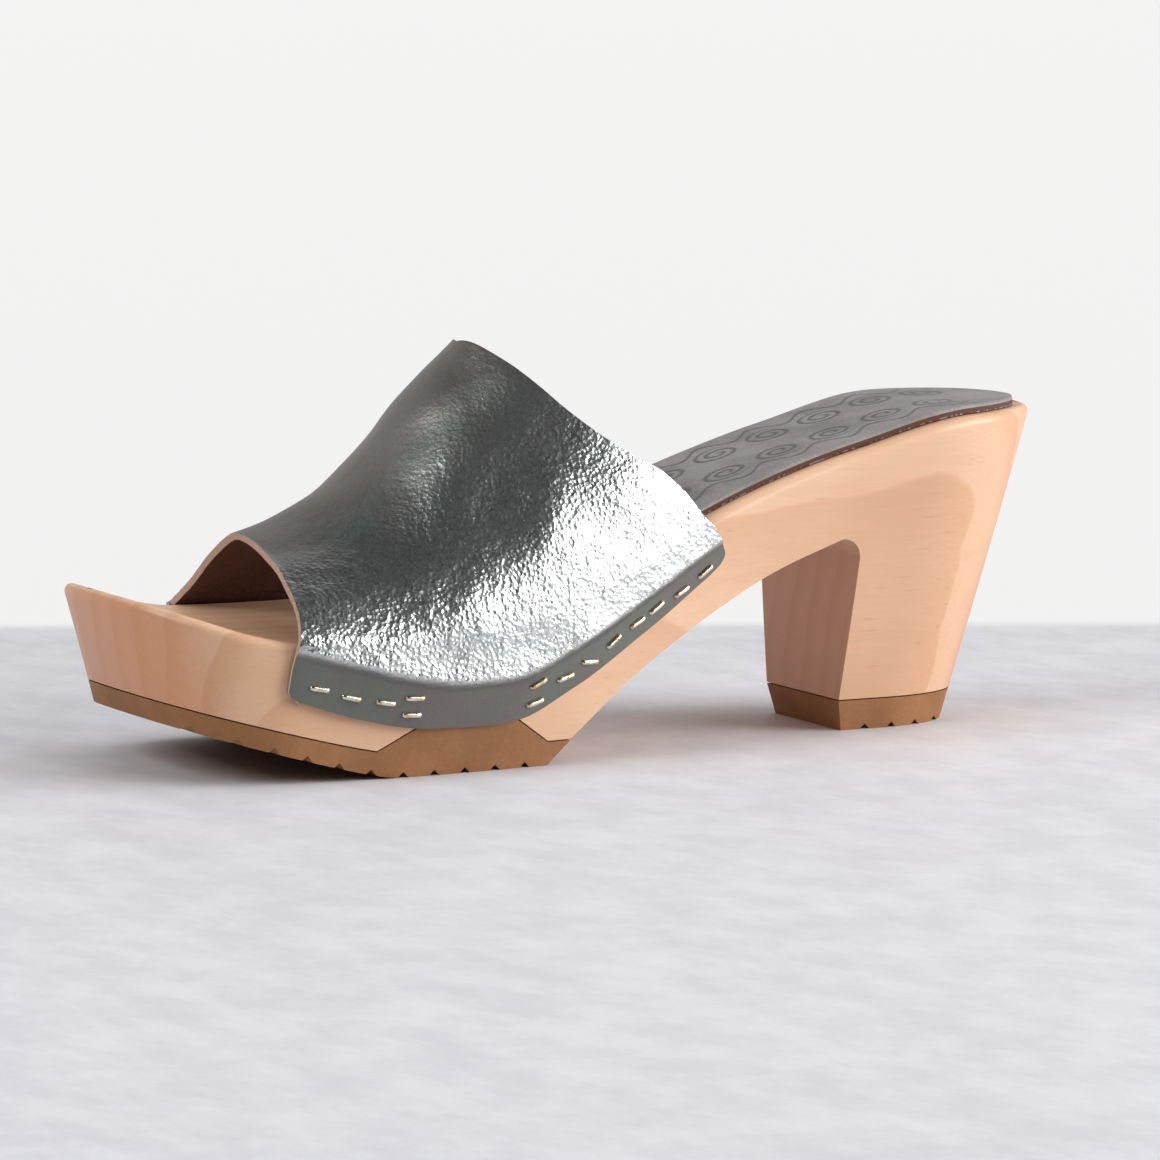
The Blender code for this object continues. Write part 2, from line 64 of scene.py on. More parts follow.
class Field:
    """An output socket of a material. Arithmetic on it adds Math nodes and gives new fields."""

    def __init__(self, finish, socket):
        self.finish = finish
        self.socket = socket

    def math(self, operation, *others):
        values = dict(enumerate((self,) + others))
        return self.finish.node("ShaderNodeMath", {"operation": operation}, values)

    def __add__(self, other):
        return self.math("ADD", other)

    def __sub__(self, other):
        return self.math("SUBTRACT", other)

    def __rsub__(self, other):
        return self * -1.0 + other

    def __mul__(self, other):
        return self.math("MULTIPLY", other)

    def __truediv__(self, other):
        return self.math("DIVIDE", other)

    def __pow__(self, other):
        return self.math("POWER", other)

    __radd__ = __add__
    __rmul__ = __mul__

    def step(self, low, high):
        """Smooth step: 0 below low, 1 above high. A low above high turns it round."""
        values = {"Value": self, "From Min": low, "From Max": high}
        settings = {"interpolation_type": "SMOOTHSTEP"}
        if low < high:
            return self.finish.node("ShaderNodeMapRange", settings, values)
        values.update({"From Min": high, "From Max": low})
        return 1.0 - self.finish.node("ShaderNodeMapRange", settings, values)


class Nodes:
    """A node tree and the nodes that are added to it."""

    def __init__(self, tree):
        self.tree = tree

    def plug(self, socket, value):
        if isinstance(value, Field):
            self.tree.links.new(value.socket, socket)
        else:
            socket.default_value = value

    def node(self, kind, settings, values, output=0):
        """A node of the kind, with its settings first and then its sockets' values or links."""
        made = self.tree.nodes.new(kind)
        for name, value in settings.items():
            setattr(made, name, value)
        for socket, value in values.items():
            self.plug(made.inputs[socket], value)
        return Field(self, made.outputs[output])


class Finish(Nodes):
    """A material with one Principled shader. Constants are set on the shader's own sockets."""

    def __init__(self, name, **constants):
        self.material = bpy.data.materials.new(name)
        self.material.use_nodes = True
        super().__init__(self.material.node_tree)
        self.shader = self.tree.nodes["Principled BSDF"]
        for socket, value in constants.items():
            self.shader.inputs[socket.replace("_", " ")].default_value = value

    def place(self, scale=(1.0, 1.0, 1.0), turn=(0.0, 0.0, 0.0)):
        """Object coordinates in metres, turned and then stretched by scale."""
        here = self.node("ShaderNodeTexCoord", {}, {}, "Object")
        return self.node("ShaderNodeMapping", {}, {"Vector": here, "Scale": scale, "Rotation": turn})

    def noise(self, where, scale, detail=2.0, rough=0.5):
        values = {"Vector": where, "Scale": scale, "Detail": detail, "Roughness": rough}
        return self.node("ShaderNodeTexNoise", {}, values)

    def cells(self, where, scale, feature="F1", output="Distance"):
        """Voronoi cells: distance to the nearest point, to the cell's edge, or a cell's colour."""
        values = {"Vector": where, "Scale": scale}
        return self.node("ShaderNodeTexVoronoi", {"feature": feature}, values, output)

    def attribute(self, name):
        return self.node("ShaderNodeAttribute", {"attribute_name": name}, {}, "Fac")

    def blend(self, share, first, second):
        """Colour that goes from the first to the second with the share."""
        return self.node("ShaderNodeMix", {"data_type": "RGBA"}, {0: share, 6: first, 7: second}, 2)

    def tint(self, color, amount):
        """Colour made lighter or darker by a factor that varies."""
        settings = {"data_type": "RGBA", "blend_type": "MULTIPLY"}
        grey = self.node("ShaderNodeCombineColor", {}, {0: amount, 1: amount, 2: amount})
        return self.node("ShaderNodeMix", settings, {0: 1.0, 6: color, 7: grey}, 2)

    def relief(self, height, distance, below=None):
        """Bump of a height from 0 to 1, distance deep, on top of another bump."""
        values = {"Height": height, "Distance": distance, "Strength": 1.0}
        if below is not None:
            values["Normal"] = below
        return self.node("ShaderNodeBump", {}, values, "Normal")

    def feed(self, **sockets):
        """Links what varies to the shader's sockets."""
        for name, value in sockets.items():
            self.plug(self.shader.inputs[name.replace("_", " ")], value)


def grid_faces(rows, columns, first=0):
    """Quads of a grid of rows by columns, as an array of four indices a face."""
    index = first + np.arange(rows * columns).reshape(rows, columns)
    corners = (index[:-1, :-1], index[:-1, 1:], index[1:, 1:], index[1:, :-1])
    return np.stack(corners, axis=-1).reshape(-1, 4)


def surface_piece(name, grids, finish, attributes=None, sharp=math.radians(40)):
    """One mesh from several grids of world points: joined where their borders meet, facing out."""
    points = np.concatenate([grid.reshape(-1, 3) for grid in grids])
    faces = []
    first = 0
    for grid in grids:
        faces.append(grid_faces(grid.shape[0], grid.shape[1], first))
        first += grid.shape[0] * grid.shape[1]
    mesh = bpy.data.meshes.new(name)
    mesh.from_pydata(points.tolist(), [], np.concatenate(faces).tolist())
    for label, values in (attributes or {}).items():
        layer = mesh.attributes.new(label, "FLOAT", "POINT")
        flat = np.concatenate([value.reshape(-1) for value in values])
        layer.data.foreach_set("value", flat.astype(np.float32))
    work = bmesh.new()
    work.from_mesh(mesh)
    bmesh.ops.remove_doubles(work, verts=work.verts, dist=1e-6)
    bmesh.ops.recalc_face_normals(work, faces=work.faces)
    work.to_mesh(mesh)
    work.free()
    mesh.shade_smooth()
    mesh.set_sharp_from_angle(angle=sharp)
    mesh.materials.append(finish.material)
    piece = bpy.data.objects.new(name, mesh)
    bpy.context.scene.collection.objects.link(piece)
    return piece


floor_finish = Finish("floor_board", Roughness=0.55, Specular_IOR_Level=0.25, Emission_Strength=1.0)
behind = floor_finish.place(turn=(0.0, 0.0, -VIEW_WAY))
behind = floor_finish.node("ShaderNodeSeparateXYZ", {}, {0: behind}, "X")
sheet = behind.step(FLOOR_LINE - FLOOR_LINE_SOFTNESS, FLOOR_LINE + FLOOR_LINE_SOFTNESS)
mottle = floor_finish.noise(floor_finish.place((1.0, 1.6, 1.0)), 42.0, 6.0, 0.68).step(0.30, 0.70)
board = floor_finish.blend(mottle, FLOOR_SHADE, FLOOR_GREY)
floor_finish.feed(
    Base_Color=floor_finish.blend(sheet, board, BLACK),
    Emission_Color=floor_finish.blend(sheet, BLACK, SHEET_GLOW),
)
reach = np.linspace(-FLOOR_REACH, FLOOR_REACH, 3)
floor_x, floor_y = np.meshgrid(reach, reach)
floor = surface_piece("floor", [np.stack((floor_x, floor_y, 0.0 * floor_x), axis=-1)], floor_finish)

# Camera and light
# A long lens low beside the toe on the outer side, a large soft key from the rear of the outer
# side, a dim soft fill from the toe, an overhead sheet and a pale wall under a dark ceiling.
CAMERA_PLACE = (1.36352, -0.66554, 0.21664)
CAMERA_LENS = 209.5
SENSOR = 36.0
AIM = (0.004, 0.002, 0.0365)
WALL_GREY = 0.50
ROOM_GREY = 0.035
BACKDROP_GREY = 0.85
SoftLight = namedtuple("SoftLight", "name azimuth elevation distance width height power mirrored")
LIGHTS = (
    SoftLight("key", 54.0, 18.5, 1.30, 1.00, 0.80, 18.0, True),
    SoftLight("fill", -84.0, 36.0, 1.40, 0.70, 0.60, 8.0, True),
    SoftLight("overhead", 60.0, 84.0, 1.80, 2.20, 2.00, 17.0, False),
)

camera_data = bpy.data.cameras.new("camera")
camera_data.sensor_width = SENSOR
camera_data.lens = CAMERA_LENS
camera = bpy.data.objects.new("camera", camera_data)
camera.location = CAMERA_PLACE
camera.rotation_euler = (Vector(AIM) - Vector(CAMERA_PLACE)).to_track_quat("-Z", "Y").to_euler()
bpy.context.scene.collection.objects.link(camera)
bpy.context.scene.camera = camera
bpy.context.scene.view_settings.view_transform = "Standard"

for light in LIGHTS:
    data = bpy.data.lights.new(light.name, "AREA")
    data.shape = "RECTANGLE"
    data.size = light.width
    data.size_y = light.height
    data.energy = light.power
    lamp = bpy.data.objects.new(light.name, data)
    level = math.radians(light.elevation)
    way = math.radians(light.azimuth)
    back = Vector((math.cos(level) * math.cos(way), math.cos(level) * math.sin(way), math.sin(level)))
    lamp.location = Vector(AIM) + light.distance * back
    lamp.rotation_euler = back.to_track_quat("Z", "Y").to_euler()
    lamp.visible_glossy = light.mirrored
    bpy.context.scene.collection.objects.link(lamp)

world = bpy.data.worlds.new("room")
bpy.context.scene.world = world
world.use_nodes = True
room = Nodes(world.node_tree)
looking = room.node("ShaderNodeTexCoord", {}, {}, "Generated")
across, along, rise = (room.node("ShaderNodeSeparateXYZ", {}, {0: looking}, axis) for axis in "XYZ")
to_wall = across * math.cos(VIEW_WAY) + along * math.sin(VIEW_WAY)
wall = to_wall.step(-0.25, 0.45) * rise.step(0.93, 0.60)
seen = room.node("ShaderNodeLightPath", {}, {}, "Is Camera Ray")
grey = wall * (WALL_GREY - ROOM_GREY) + ROOM_GREY
grey = grey * (1.0 - seen) + seen * BACKDROP_GREY
room.plug(room.tree.nodes["Background"].inputs["Color"], grey)

# Wooden sole
# One block of pale alder, turned on the last's own plan and drafted towards the floor, with
# a rounded rim, a heel pillar and an arch. A flex line at the ball parts the toe block.
SOLE_LENGTH = 0.2348
BALL_WIDTH = 0.0826
HEEL_WIDTH = 0.0570
HEEL_SEAT_HEIGHT = 0.0726
BALL_SEAT_HEIGHT = 0.0302
TOE_RIM_HEIGHT = 0.0404
RIM_RADIUS = 0.0022
FOOTBED_DISH = 0.0004
HEEL_END_DEPTH = 0.036
TOE_END_DEPTH = 0.037
HEEL_SQUARENESS = 2.0
TOE_SQUARENESS = 2.4
SIDE_DRAFT = 0.0121
DRAFT_CURVE = 1.25
HEEL_LEAN = 0.30
HEEL_LEAN_REACH = 0.062
TOE_UNDERCUT = 0.33
TOE_UNDERCUT_REACH = 0.040
HEEL_FRONT = 0.0568
HEEL_FRONT_SLANT = 0.045
ARCH_HEIGHT = 0.0452
ARCH_RADIUS = 0.0048
SHANK_FOOT = 0.1333
TREAD_THICKNESS = 0.0055
TOE_TREAD_THICKNESS = 0.0047
LIFT_THICKNESS = 0.0073
SPRING_START = 0.1748
SPRING_SLOPE = 0.295
SPRING_RADIUS = 0.008
WEDGE_REAR = 0.1393
WEDGE_FRONT = 0.1821
WEDGE_APEX = 0.1578
WEDGE_DEPTH = 0.0130
FIT_GAP = 0.0003
EDGE_BREAK = 0.00035
SIDE_ROWS = 34
RIM_ROWS = 8
ACROSS = 14
HEEL_END_STEPS = 34
PILLAR_STEPS = 14
CORNER_STEPS = 12
SHANK_STEPS = 64
LANDING_STEPS = 5
WEDGE_STEPS = 12
TOE_WEDGE_STEPS = 14
TOE_STEPS = 56
# Stations of the rim above the start of the pillar's front, the corner, the shank, the landing
# on the tread, and the wedge.
RIM_OVER_PILLAR = 0.043
RIM_OVER_CORNER = 0.050
RIM_OVER_SHANK = 0.058
RIM_OVER_LANDING = 0.1345
RIM_OVER_WEDGE = 0.1400
WOOD_LIGHT = (0.80, 0.51, 0.325, 1.0)
WOOD_DARK = (0.64, 0.345, 0.19, 1.0)
WOOD_KNOT = (0.22, 0.09, 0.04, 1.0)
# End grain colour, darker than end grain alone: partly painted shade for the faces towards the toe and the
# heel.
WOOD_END_GRAIN_AND_SHADE = (0.64, 0.27, 0.125, 1.0)
TRUNK_PLACE = (0.155, 0.0, -0.010)
TRUNK_TURN = (0.10, 0.0, 0.055)
RING_PITCH = 0.0085

SoleSection = namedtuple("SoleSection", "station outer inner draft rise spring")
SOLE_SECTIONS = (
    SoleSection(0.000, 0.00, 0.00, 1.00, 1.000, 0.00),
    SoleSection(0.110, 0.00, 0.00, 1.00, 0.985, 0.00),
    SoleSection(0.241, 0.00, -0.07, 1.00, 0.825, 0.00),
    SoleSection(0.317, 0.06, -0.13, 0.82, 0.705, 0.00),
    SoleSection(0.402, 0.21, -0.07, 0.50, 0.535, 0.00),
    SoleSection(0.487, 0.49, 0.20, 0.35, 0.325, 0.00),
    SoleSection(0.570, 0.76, 0.55, 0.25, 0.127, 0.00),
    SoleSection(0.653, 0.92, 0.82, 0.20, 0.020, 0.00),
    SoleSection(0.754, 1.00, 1.00, 0.17, 0.000, 0.00),
    SoleSection(0.846, 0.98, 0.90, 0.17, 0.000, 0.05),
    SoleSection(0.897, 0.98, 0.86, 0.17, 0.000, 0.26),
    SoleSection(0.945, 0.98, 0.82, 0.17, 0.000, 0.60),
    SoleSection(1.000, 0.98, 0.80, 0.17, 0.000, 1.00),
)
ShankPoint = namedtuple("ShankPoint", "run rise")
SHANK_LINE = (
    ShankPoint(0.00, 0.00),
    ShankPoint(0.24, 0.33),
    ShankPoint(0.53, 0.64),
    ShankPoint(0.76, 0.845),
    ShankPoint(1.00, 1.00),
)


def smooth_column(rows, key, value, at):
    """Monotone cubic through the rows of a table: value as a function of key, held at the ends."""
    x = np.array([getattr(row, key) for row in rows], dtype=float)
    y = np.array([getattr(row, value) for row in rows], dtype=float)
    step = np.diff(x)
    slope = np.diff(y) / step
    same_way = slope[:-1] * slope[1:] > 0
    total = np.where(same_way, slope[:-1] + slope[1:], 1.0)
    inside = np.where(same_way, 2 * slope[:-1] * slope[1:] / total, 0.0)
    tangent = np.concatenate((slope[:1], inside, slope[-1:]))
    at = np.clip(np.asarray(at, dtype=float), x[0], x[-1])
    cell = np.clip(np.searchsorted(x, at, side="right") - 1, 0, len(step) - 1)
    t = (at - x[cell]) / step[cell]
    rise = y[cell] * (1 + 2 * t) * (1 - t) ** 2 + y[cell + 1] * t * t * (3 - 2 * t)
    bend = tangent[cell] * t * (1 - t) ** 2 - tangent[cell + 1] * t * t * (1 - t)
    return rise + bend * step[cell]


def sole_column(name, u):
    """A column of the sole's sections at distance u from the heel's rear."""
    return smooth_column(SOLE_SECTIONS, "station", name, np.asarray(u) / SOLE_LENGTH)


def rim_height(u):
    """Height of the footbed's edge: heel seat above the ball, and toe spring above the ball."""
    heel = sole_column("rise", u) * (HEEL_SEAT_HEIGHT - BALL_SEAT_HEIGHT)
    toe = sole_column("spring", u) * (TOE_RIM_HEIGHT - BALL_SEAT_HEIGHT)
    return BALL_SEAT_HEIGHT + heel + toe


def end_taper(u):
    """Superellipse factor that rounds the plan at the heel and the toe."""
    behind = np.clip((HEEL_END_DEPTH - u) / HEEL_END_DEPTH, 0.0, 1.0)
    ahead = np.clip((u - SOLE_LENGTH + TOE_END_DEPTH) / TOE_END_DEPTH, 0.0, 1.0)
    heel = (1.0 - behind ** HEEL_SQUARENESS) ** (1.0 / HEEL_SQUARENESS)
    toe = (1.0 - ahead ** TOE_SQUARENESS) ** (1.0 / TOE_SQUARENESS)
    return heel * toe


def rim_half_width(u, side):
    """Half width of the rim on the outer (+1) or inner (-1) side of the shoe."""
    share = sole_column("outer" if side > 0 else "inner", u)
    return 0.5 * (HEEL_WIDTH + (BALL_WIDTH - HEEL_WIDTH) * share) * end_taper(u)


def side_half_width(u, z, side):
    """Half width at height z: the rim's, less a draft that grows as a power of the depth."""
    depth = np.clip((rim_height(u) - z) / rim_height(u), 0.0, None)
    inset = SIDE_DRAFT * sole_column("draft", u) * depth ** DRAFT_CURVE
    return rim_half_width(u, side) - inset * end_taper(u)


def end_shift(u, z):
    """Forward lean of the heel's rear and undercut of the toe at height z."""
    below = rim_height(u) - z
    behind = np.clip(1.0 - u / HEEL_LEAN_REACH, 0.0, 1.0)
    ahead = np.clip(1.0 - (SOLE_LENGTH - u) / TOE_UNDERCUT_REACH, 0.0, 1.0)
    return below * (HEEL_LEAN * behind - TOE_UNDERCUT * ahead ** 2)


def station_at(u, z):
    """The station whose point at height z stands at distance u, found by repeated correction."""
    station = np.asarray(u, dtype=float)
    for _ in range(40):
        station = np.clip(u - end_shift(station, z), 0.0, SOLE_LENGTH)
    return station


def to_world(points):
    """Shoe coordinates (u, w, z) to world coordinates, origin under the middle of the sole."""
    return np.stack((points[..., 1], 0.5 * SOLE_LENGTH - points[..., 0], points[..., 2]), axis=-1)


def tread_height(u):
    """Height of the rubber's running face: flat at the ball, rising to the toe."""
    ahead = np.clip(np.asarray(u) - SPRING_START, 0.0, None)
    return SPRING_SLOPE * (np.sqrt(ahead ** 2 + SPRING_RADIUS ** 2) - SPRING_RADIUS)


def wood_height(u):
    """Height of the wood's underside above the rubber."""
    share = np.clip((np.asarray(u) - WEDGE_FRONT) / (SOLE_LENGTH - WEDGE_FRONT), 0.0, 1.0)
    return tread_height(u) + TREAD_THICKNESS + (TOE_TREAD_THICKNESS - TREAD_THICKNESS) * share


def heel_front(z):
    """Distance u of the heel pillar's front face at height z."""
    return HEEL_FRONT - HEEL_FRONT_SLANT * z


def sole_side(top, top_z, foot, foot_z, side):
    """One side of a sole piece: straight lines from its top stations to its foot stations,
    laid on the drafted side of the sole."""
    down = np.linspace(0.0, 1.0, SIDE_ROWS)[:, None]
    u = top + (foot - top) * down
    z = top_z + (foot_z - top_z) * down
    return np.stack((u + end_shift(u, z), side * side_half_width(u, z, side), z), axis=-1)


def rim_rows(top, side):
    """Rim roundover: a quarter circle that draws in along the plan's normal as it rises. Where the
    two sides meet, at the heel's rear and at the toe, the plan runs straight across."""
    turn = np.linspace(math.pi / 2, 0.0, RIM_ROWS)[:, None]
    z = rim_height(top) - RIM_RADIUS * (1.0 - np.sin(turn))
    w = side * side_half_width(top, z, side)
    u = top + end_shift(top, z)
    along = np.gradient(np.stack((u, w), axis=-1), axis=1)
    if top[0] == 0.0:
        along[:, 0] = (0.0, side)
    if top[-1] == SOLE_LENGTH:
        along[:, -1] = (0.0, -side)
    length = np.linalg.norm(along, axis=-1, keepdims=True)
    inward = side * np.stack((along[..., 1], -along[..., 0]), axis=-1) / length
    inset = RIM_RADIUS * (1.0 - np.cos(turn))
    return np.stack((u + inward[..., 0] * inset, w + inward[..., 1] * inset, z), axis=-1)


def across_grid(outer, inner, dish=0.0):
    """Rows straight across from the outer to the inner line, sunk in the middle by the dish."""
    share = np.linspace(0.0, 1.0, ACROSS + 1)[None, :, None]
    rows = outer[:, None] + (inner - outer)[:, None] * share
    rows[..., 2] -= dish * 4.0 * share[..., 0] * (1.0 - share[..., 0])
    return rows


def sole_piece(name, top, top_z, foot, foot_z, finish, rim, sharp=math.radians(40)):
    """A closed piece of the sole: two sides, the top, the foot and its open ends closed."""
    halves = []
    for side in (1, -1):
        half = sole_side(top, top_z, foot, foot_z, side)
        if rim:
            half = np.concatenate((rim_rows(top, side)[:-1], half))
        halves.append(half)
    dish = FOOTBED_DISH if rim else 0.0
    lid = across_grid(halves[0][0], halves[1][0], dish)
    under = across_grid(halves[0][-1], halves[1][-1])
    grids = halves + [lid, under]
    for end in (0, -1):
        cap = across_grid(halves[0][:, end], halves[1][:, end])
        cap[0] = lid[end]
        grids.append(cap)
    return surface_piece(name, [to_world(grid) for grid in grids], finish, sharp=sharp)


def break_edges(piece, width, angle=math.radians(32)):
    """A small bevel on the sharp edges."""
    bevel = piece.modifiers.new("broken_edges", "BEVEL")
    bevel.width = width
    bevel.segments = 2
    bevel.limit_method = "ANGLE"
    bevel.angle_limit = angle


def eased(start, end, count, ease):
    """Steps from start to end: even (0) or bunched at the start (1) or at the end (-1)."""
    t = np.linspace(0.0, 1.0, count)
    if ease > 0:
        t = 1.0 - np.cos(t * math.pi / 2)
    if ease < 0:
        t = np.sin(t * math.pi / 2)
    return start + (end - start) * t


def joined(*runs):
    """Runs end to end, each without its first value, which is the last of the run before."""
    return np.concatenate([runs[0]] + [run[1:] for run in runs[1:]])


def wood_finish(name):
    """Alder: rings round a trunk that lies along the sole, fine fibres, small pores, satin oil."""
    wood = Finish(name, Coat_Roughness=0.25, Specular_IOR_Level=0.45)
    place = wood.node("ShaderNodeMapping", {"vector_type": "TEXTURE"}, {
        "Vector": wood.node("ShaderNodeTexCoord", {}, {}, "Object"),
        "Location": TRUNK_PLACE, "Rotation": TRUNK_TURN})
    bend = wood.noise(wood.place((1.0, 0.35, 1.0)), 21.0, 2.0, 0.45) - 0.5
    waver = wood.noise(wood.place((1.0, 0.22, 1.0)), 95.0, 2.0, 0.5) - 0.5
    split = {"X": None, "Z": None}
    for axis in split:
        split[axis] = wood.node("ShaderNodeSeparateXYZ", {}, {0: place}, axis)
    radius = (split["X"] * split["X"] + split["Z"] * split["Z"]) ** 0.5
    radius = radius + bend * 0.016 + waver * 0.0016
    ring = (radius / RING_PITCH).math("FRACT")
    late = ring.step(0.35, 0.93) * ring.step(1.0, 0.95)
    fibre = wood.noise(wood.place((1.0, 0.028, 1.0)), 1500.0, 3.0, 0.6)
    streak = wood.noise(wood.place((1.0, 0.10, 1.0)), 190.0, 3.0, 0.55)
    pores = wood.cells(wood.place((1.0, 0.075, 1.0)), 620.0).step(0.17, 0.05)
    patch = wood.noise(wood.place((1.0, 0.5, 1.0)), 26.0, 2.0).step(0.35, 0.7)
    color = wood.blend(late * 0.55 + patch * 0.25, WOOD_LIGHT, WOOD_DARK)
    color = wood.blend(streak.step(0.5, 0.72) * 0.22, color, WOOD_DARK)
    color = wood.blend(pores * 0.16, color, WOOD_KNOT)
    # Faces towards the toe and the heel take a darker orange. This is the end grain, made darker still as
    # painted shade on the heel pillar's front and the toe's front.
    outward = wood.node("ShaderNodeNewGeometry", {}, {}, "Normal")
    facing = wood.node("ShaderNodeSeparateXYZ", {}, {0: outward}, "Y")
    end_grain_and_shade = (facing * facing).step(0.15, 0.85)
    color = wood.blend(end_grain_and_shade * 0.8, color, WOOD_END_GRAIN_AND_SHADE)
    color = wood.tint(color, fibre * 0.16 + 0.92)
    wood.feed(
        Base_Color=color,
        Roughness=fibre * 0.12 + 0.34 + late * 0.04,
        Coat_Weight=0.25 - late * 0.05,
        Normal=wood.relief(fibre * 0.6 - pores * 0.5 + late * 0.25, 0.00005),
    )
    return wood


wood = wood_finish("alder")

arch_middle = heel_front(ARCH_HEIGHT) + ARCH_RADIUS
shank_share = np.linspace(1.0, 0.0, SHANK_STEPS)
shank_u = SHANK_FOOT - (SHANK_FOOT - arch_middle) * shank_share
shank_z = TREAD_THICKNESS + (ARCH_HEIGHT - TREAD_THICKNESS) * smooth_column(
    SHANK_LINE, "run", "rise", shank_share)
corner_turn = np.linspace(math.pi, math.pi / 2, CORNER_STEPS)
corner_u = arch_middle + ARCH_RADIUS * np.cos(corner_turn)
corner_z = ARCH_HEIGHT - ARCH_RADIUS * (1.0 - np.sin(corner_turn))
front_z = np.linspace(LIFT_THICKNESS, corner_z[0], PILLAR_STEPS)
front_u = heel_front(front_z)
front_u = front_u + (corner_u[0] - front_u[-1]) * np.linspace(0.0, 1.0, len(front_u))
heel_foot_z = joined(
    np.full(HEEL_END_STEPS, LIFT_THICKNESS), front_z, corner_z, shank_z,
    np.full(LANDING_STEPS, TREAD_THICKNESS),
    np.linspace(TREAD_THICKNESS, TREAD_THICKNESS + WEDGE_DEPTH, WEDGE_STEPS))
heel_foot = joined(
    eased(0.0, float(station_at(heel_front(LIFT_THICKNESS), LIFT_THICKNESS)), HEEL_END_STEPS, 1),
    station_at(front_u, front_z), station_at(corner_u, corner_z), shank_u,
    np.linspace(SHANK_FOOT, WEDGE_REAR, LANDING_STEPS),
    np.linspace(WEDGE_REAR, WEDGE_APEX - 0.5 * FIT_GAP, WEDGE_STEPS))
heel_top = joined(
    eased(0.0, RIM_OVER_PILLAR, HEEL_END_STEPS, 1),
    np.linspace(RIM_OVER_PILLAR, RIM_OVER_CORNER, PILLAR_STEPS),
    np.linspace(RIM_OVER_CORNER, RIM_OVER_SHANK, CORNER_STEPS),
    np.linspace(RIM_OVER_SHANK, RIM_OVER_LANDING, SHANK_STEPS),
    np.linspace(RIM_OVER_LANDING, RIM_OVER_WEDGE, LANDING_STEPS),
    np.linspace(RIM_OVER_WEDGE, WEDGE_APEX - 0.5 * FIT_GAP, WEDGE_STEPS))
wood_heel = sole_piece(
    "wood_heel_shaped", heel_top, rim_height(heel_top) - RIM_RADIUS, heel_foot, heel_foot_z, wood, True)
break_edges(wood_heel, EDGE_BREAK)
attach(wood_heel, "root")
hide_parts("wood_heel_block")

toe_pole_z = float(wood_height(SOLE_LENGTH))
for _ in range(20):
    toe_pole_z = float(wood_height(SOLE_LENGTH + end_shift(SOLE_LENGTH, toe_pole_z)))
toe_front_u = SOLE_LENGTH + float(end_shift(SOLE_LENGTH, toe_pole_z))
toe_slope_u = np.linspace(WEDGE_APEX + 0.5 * FIT_GAP, WEDGE_FRONT, TOE_WEDGE_STEPS)
toe_slope_z = np.linspace(
    TREAD_THICKNESS + WEDGE_DEPTH, TREAD_THICKNESS + tread_height(WEDGE_FRONT), TOE_WEDGE_STEPS)
toe_run_u = eased(WEDGE_FRONT, toe_front_u, TOE_STEPS, -1)
toe_run_z = wood_height(toe_run_u)
toe_foot = joined(toe_slope_u, station_at(toe_run_u, toe_run_z))
toe_foot[-1] = SOLE_LENGTH
toe_foot_z = joined(toe_slope_z, toe_run_z)
toe_top = joined(toe_slope_u, eased(WEDGE_FRONT, SOLE_LENGTH, TOE_STEPS, -1))
wood_toe = sole_piece(
    "wood_toe_shaped", toe_top, rim_height(toe_top) - RIM_RADIUS, toe_foot, toe_foot_z, wood, True)
break_edges(wood_toe, EDGE_BREAK)
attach(wood_toe, "root")
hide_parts("wood_toe_block")

# Rubber tread and top lift
# Tan crepe rubber sheet glued under the wood and sanded flush with it: a forefoot sole with a
# flex wedge in the wood's notch, and a top lift under the heel, both cut with cross grooves.
TREAD_REAR = 0.1393
TREAD_UNDER_WEDGE = 0.1424
TREAD_STEPS = 90
TREAD_TOE_STEPS = 60
LIFT_STEPS = 44
GROOVE_PITCH = 0.0076
GROOVE_WIDTH = 0.0026
GROOVE_DEPTH = 0.0013
LIFT_GROOVE_PITCH = 0.0070
LIFT_FRONT_SLANT = 0.20
RUBBER_TAN = (0.36, 0.165, 0.065, 1.0)
RUBBER_DEEP = (0.25, 0.105, 0.038, 1.0)


def groove_middles(start, end, pitch):
    """Middles of the V grooves across a running face, one to each pitch, centred on it."""
    count = int((end - start) / pitch)
    first = start + 0.5 * (end - start - (count - 1) * pitch)
    return first + pitch * np.arange(count)


def groove_depth(u, middles):
    """Depth of the V grooves at distance u."""
    away = np.abs(np.asarray(u)[:, None] - middles).min(axis=1)
    return GROOVE_DEPTH * np.clip(1.0 - away / (0.5 * GROOVE_WIDTH), 0.0, 1.0)


def groove_edges(middles):
    """The points that a running face needs to keep its grooves crisp."""
    return (middles[:, None] + GROOVE_WIDTH * np.array((-0.5, 0.0, 0.5))).ravel()


def rubber_finish(name):
    """Crepe rubber: fine crumb, sanding marks along the sides and a soft sheen."""
    rubber = Finish(name, Specular_IOR_Level=0.35)
    crumb = rubber.noise(rubber.place(), 900.0, 3.0, 0.6)
    cloud = rubber.noise(rubber.place(), 60.0, 3.0, 0.5)
    sanding = rubber.noise(rubber.place((1.0, 0.05, 1.0)), 1200.0, 2.0, 0.6)
    color = rubber.blend(cloud.step(0.35, 0.68) * 0.6, RUBBER_TAN, RUBBER_DEEP)
    rubber.feed(
        Base_Color=rubber.tint(color, crumb * 0.4 + 0.8),
        Roughness=crumb * 0.2 + 0.55,
        Normal=rubber.relief(crumb * 0.6 + sanding * 0.6, 0.00012),
    )
    return rubber


rubber = rubber_finish("crepe_rubber")

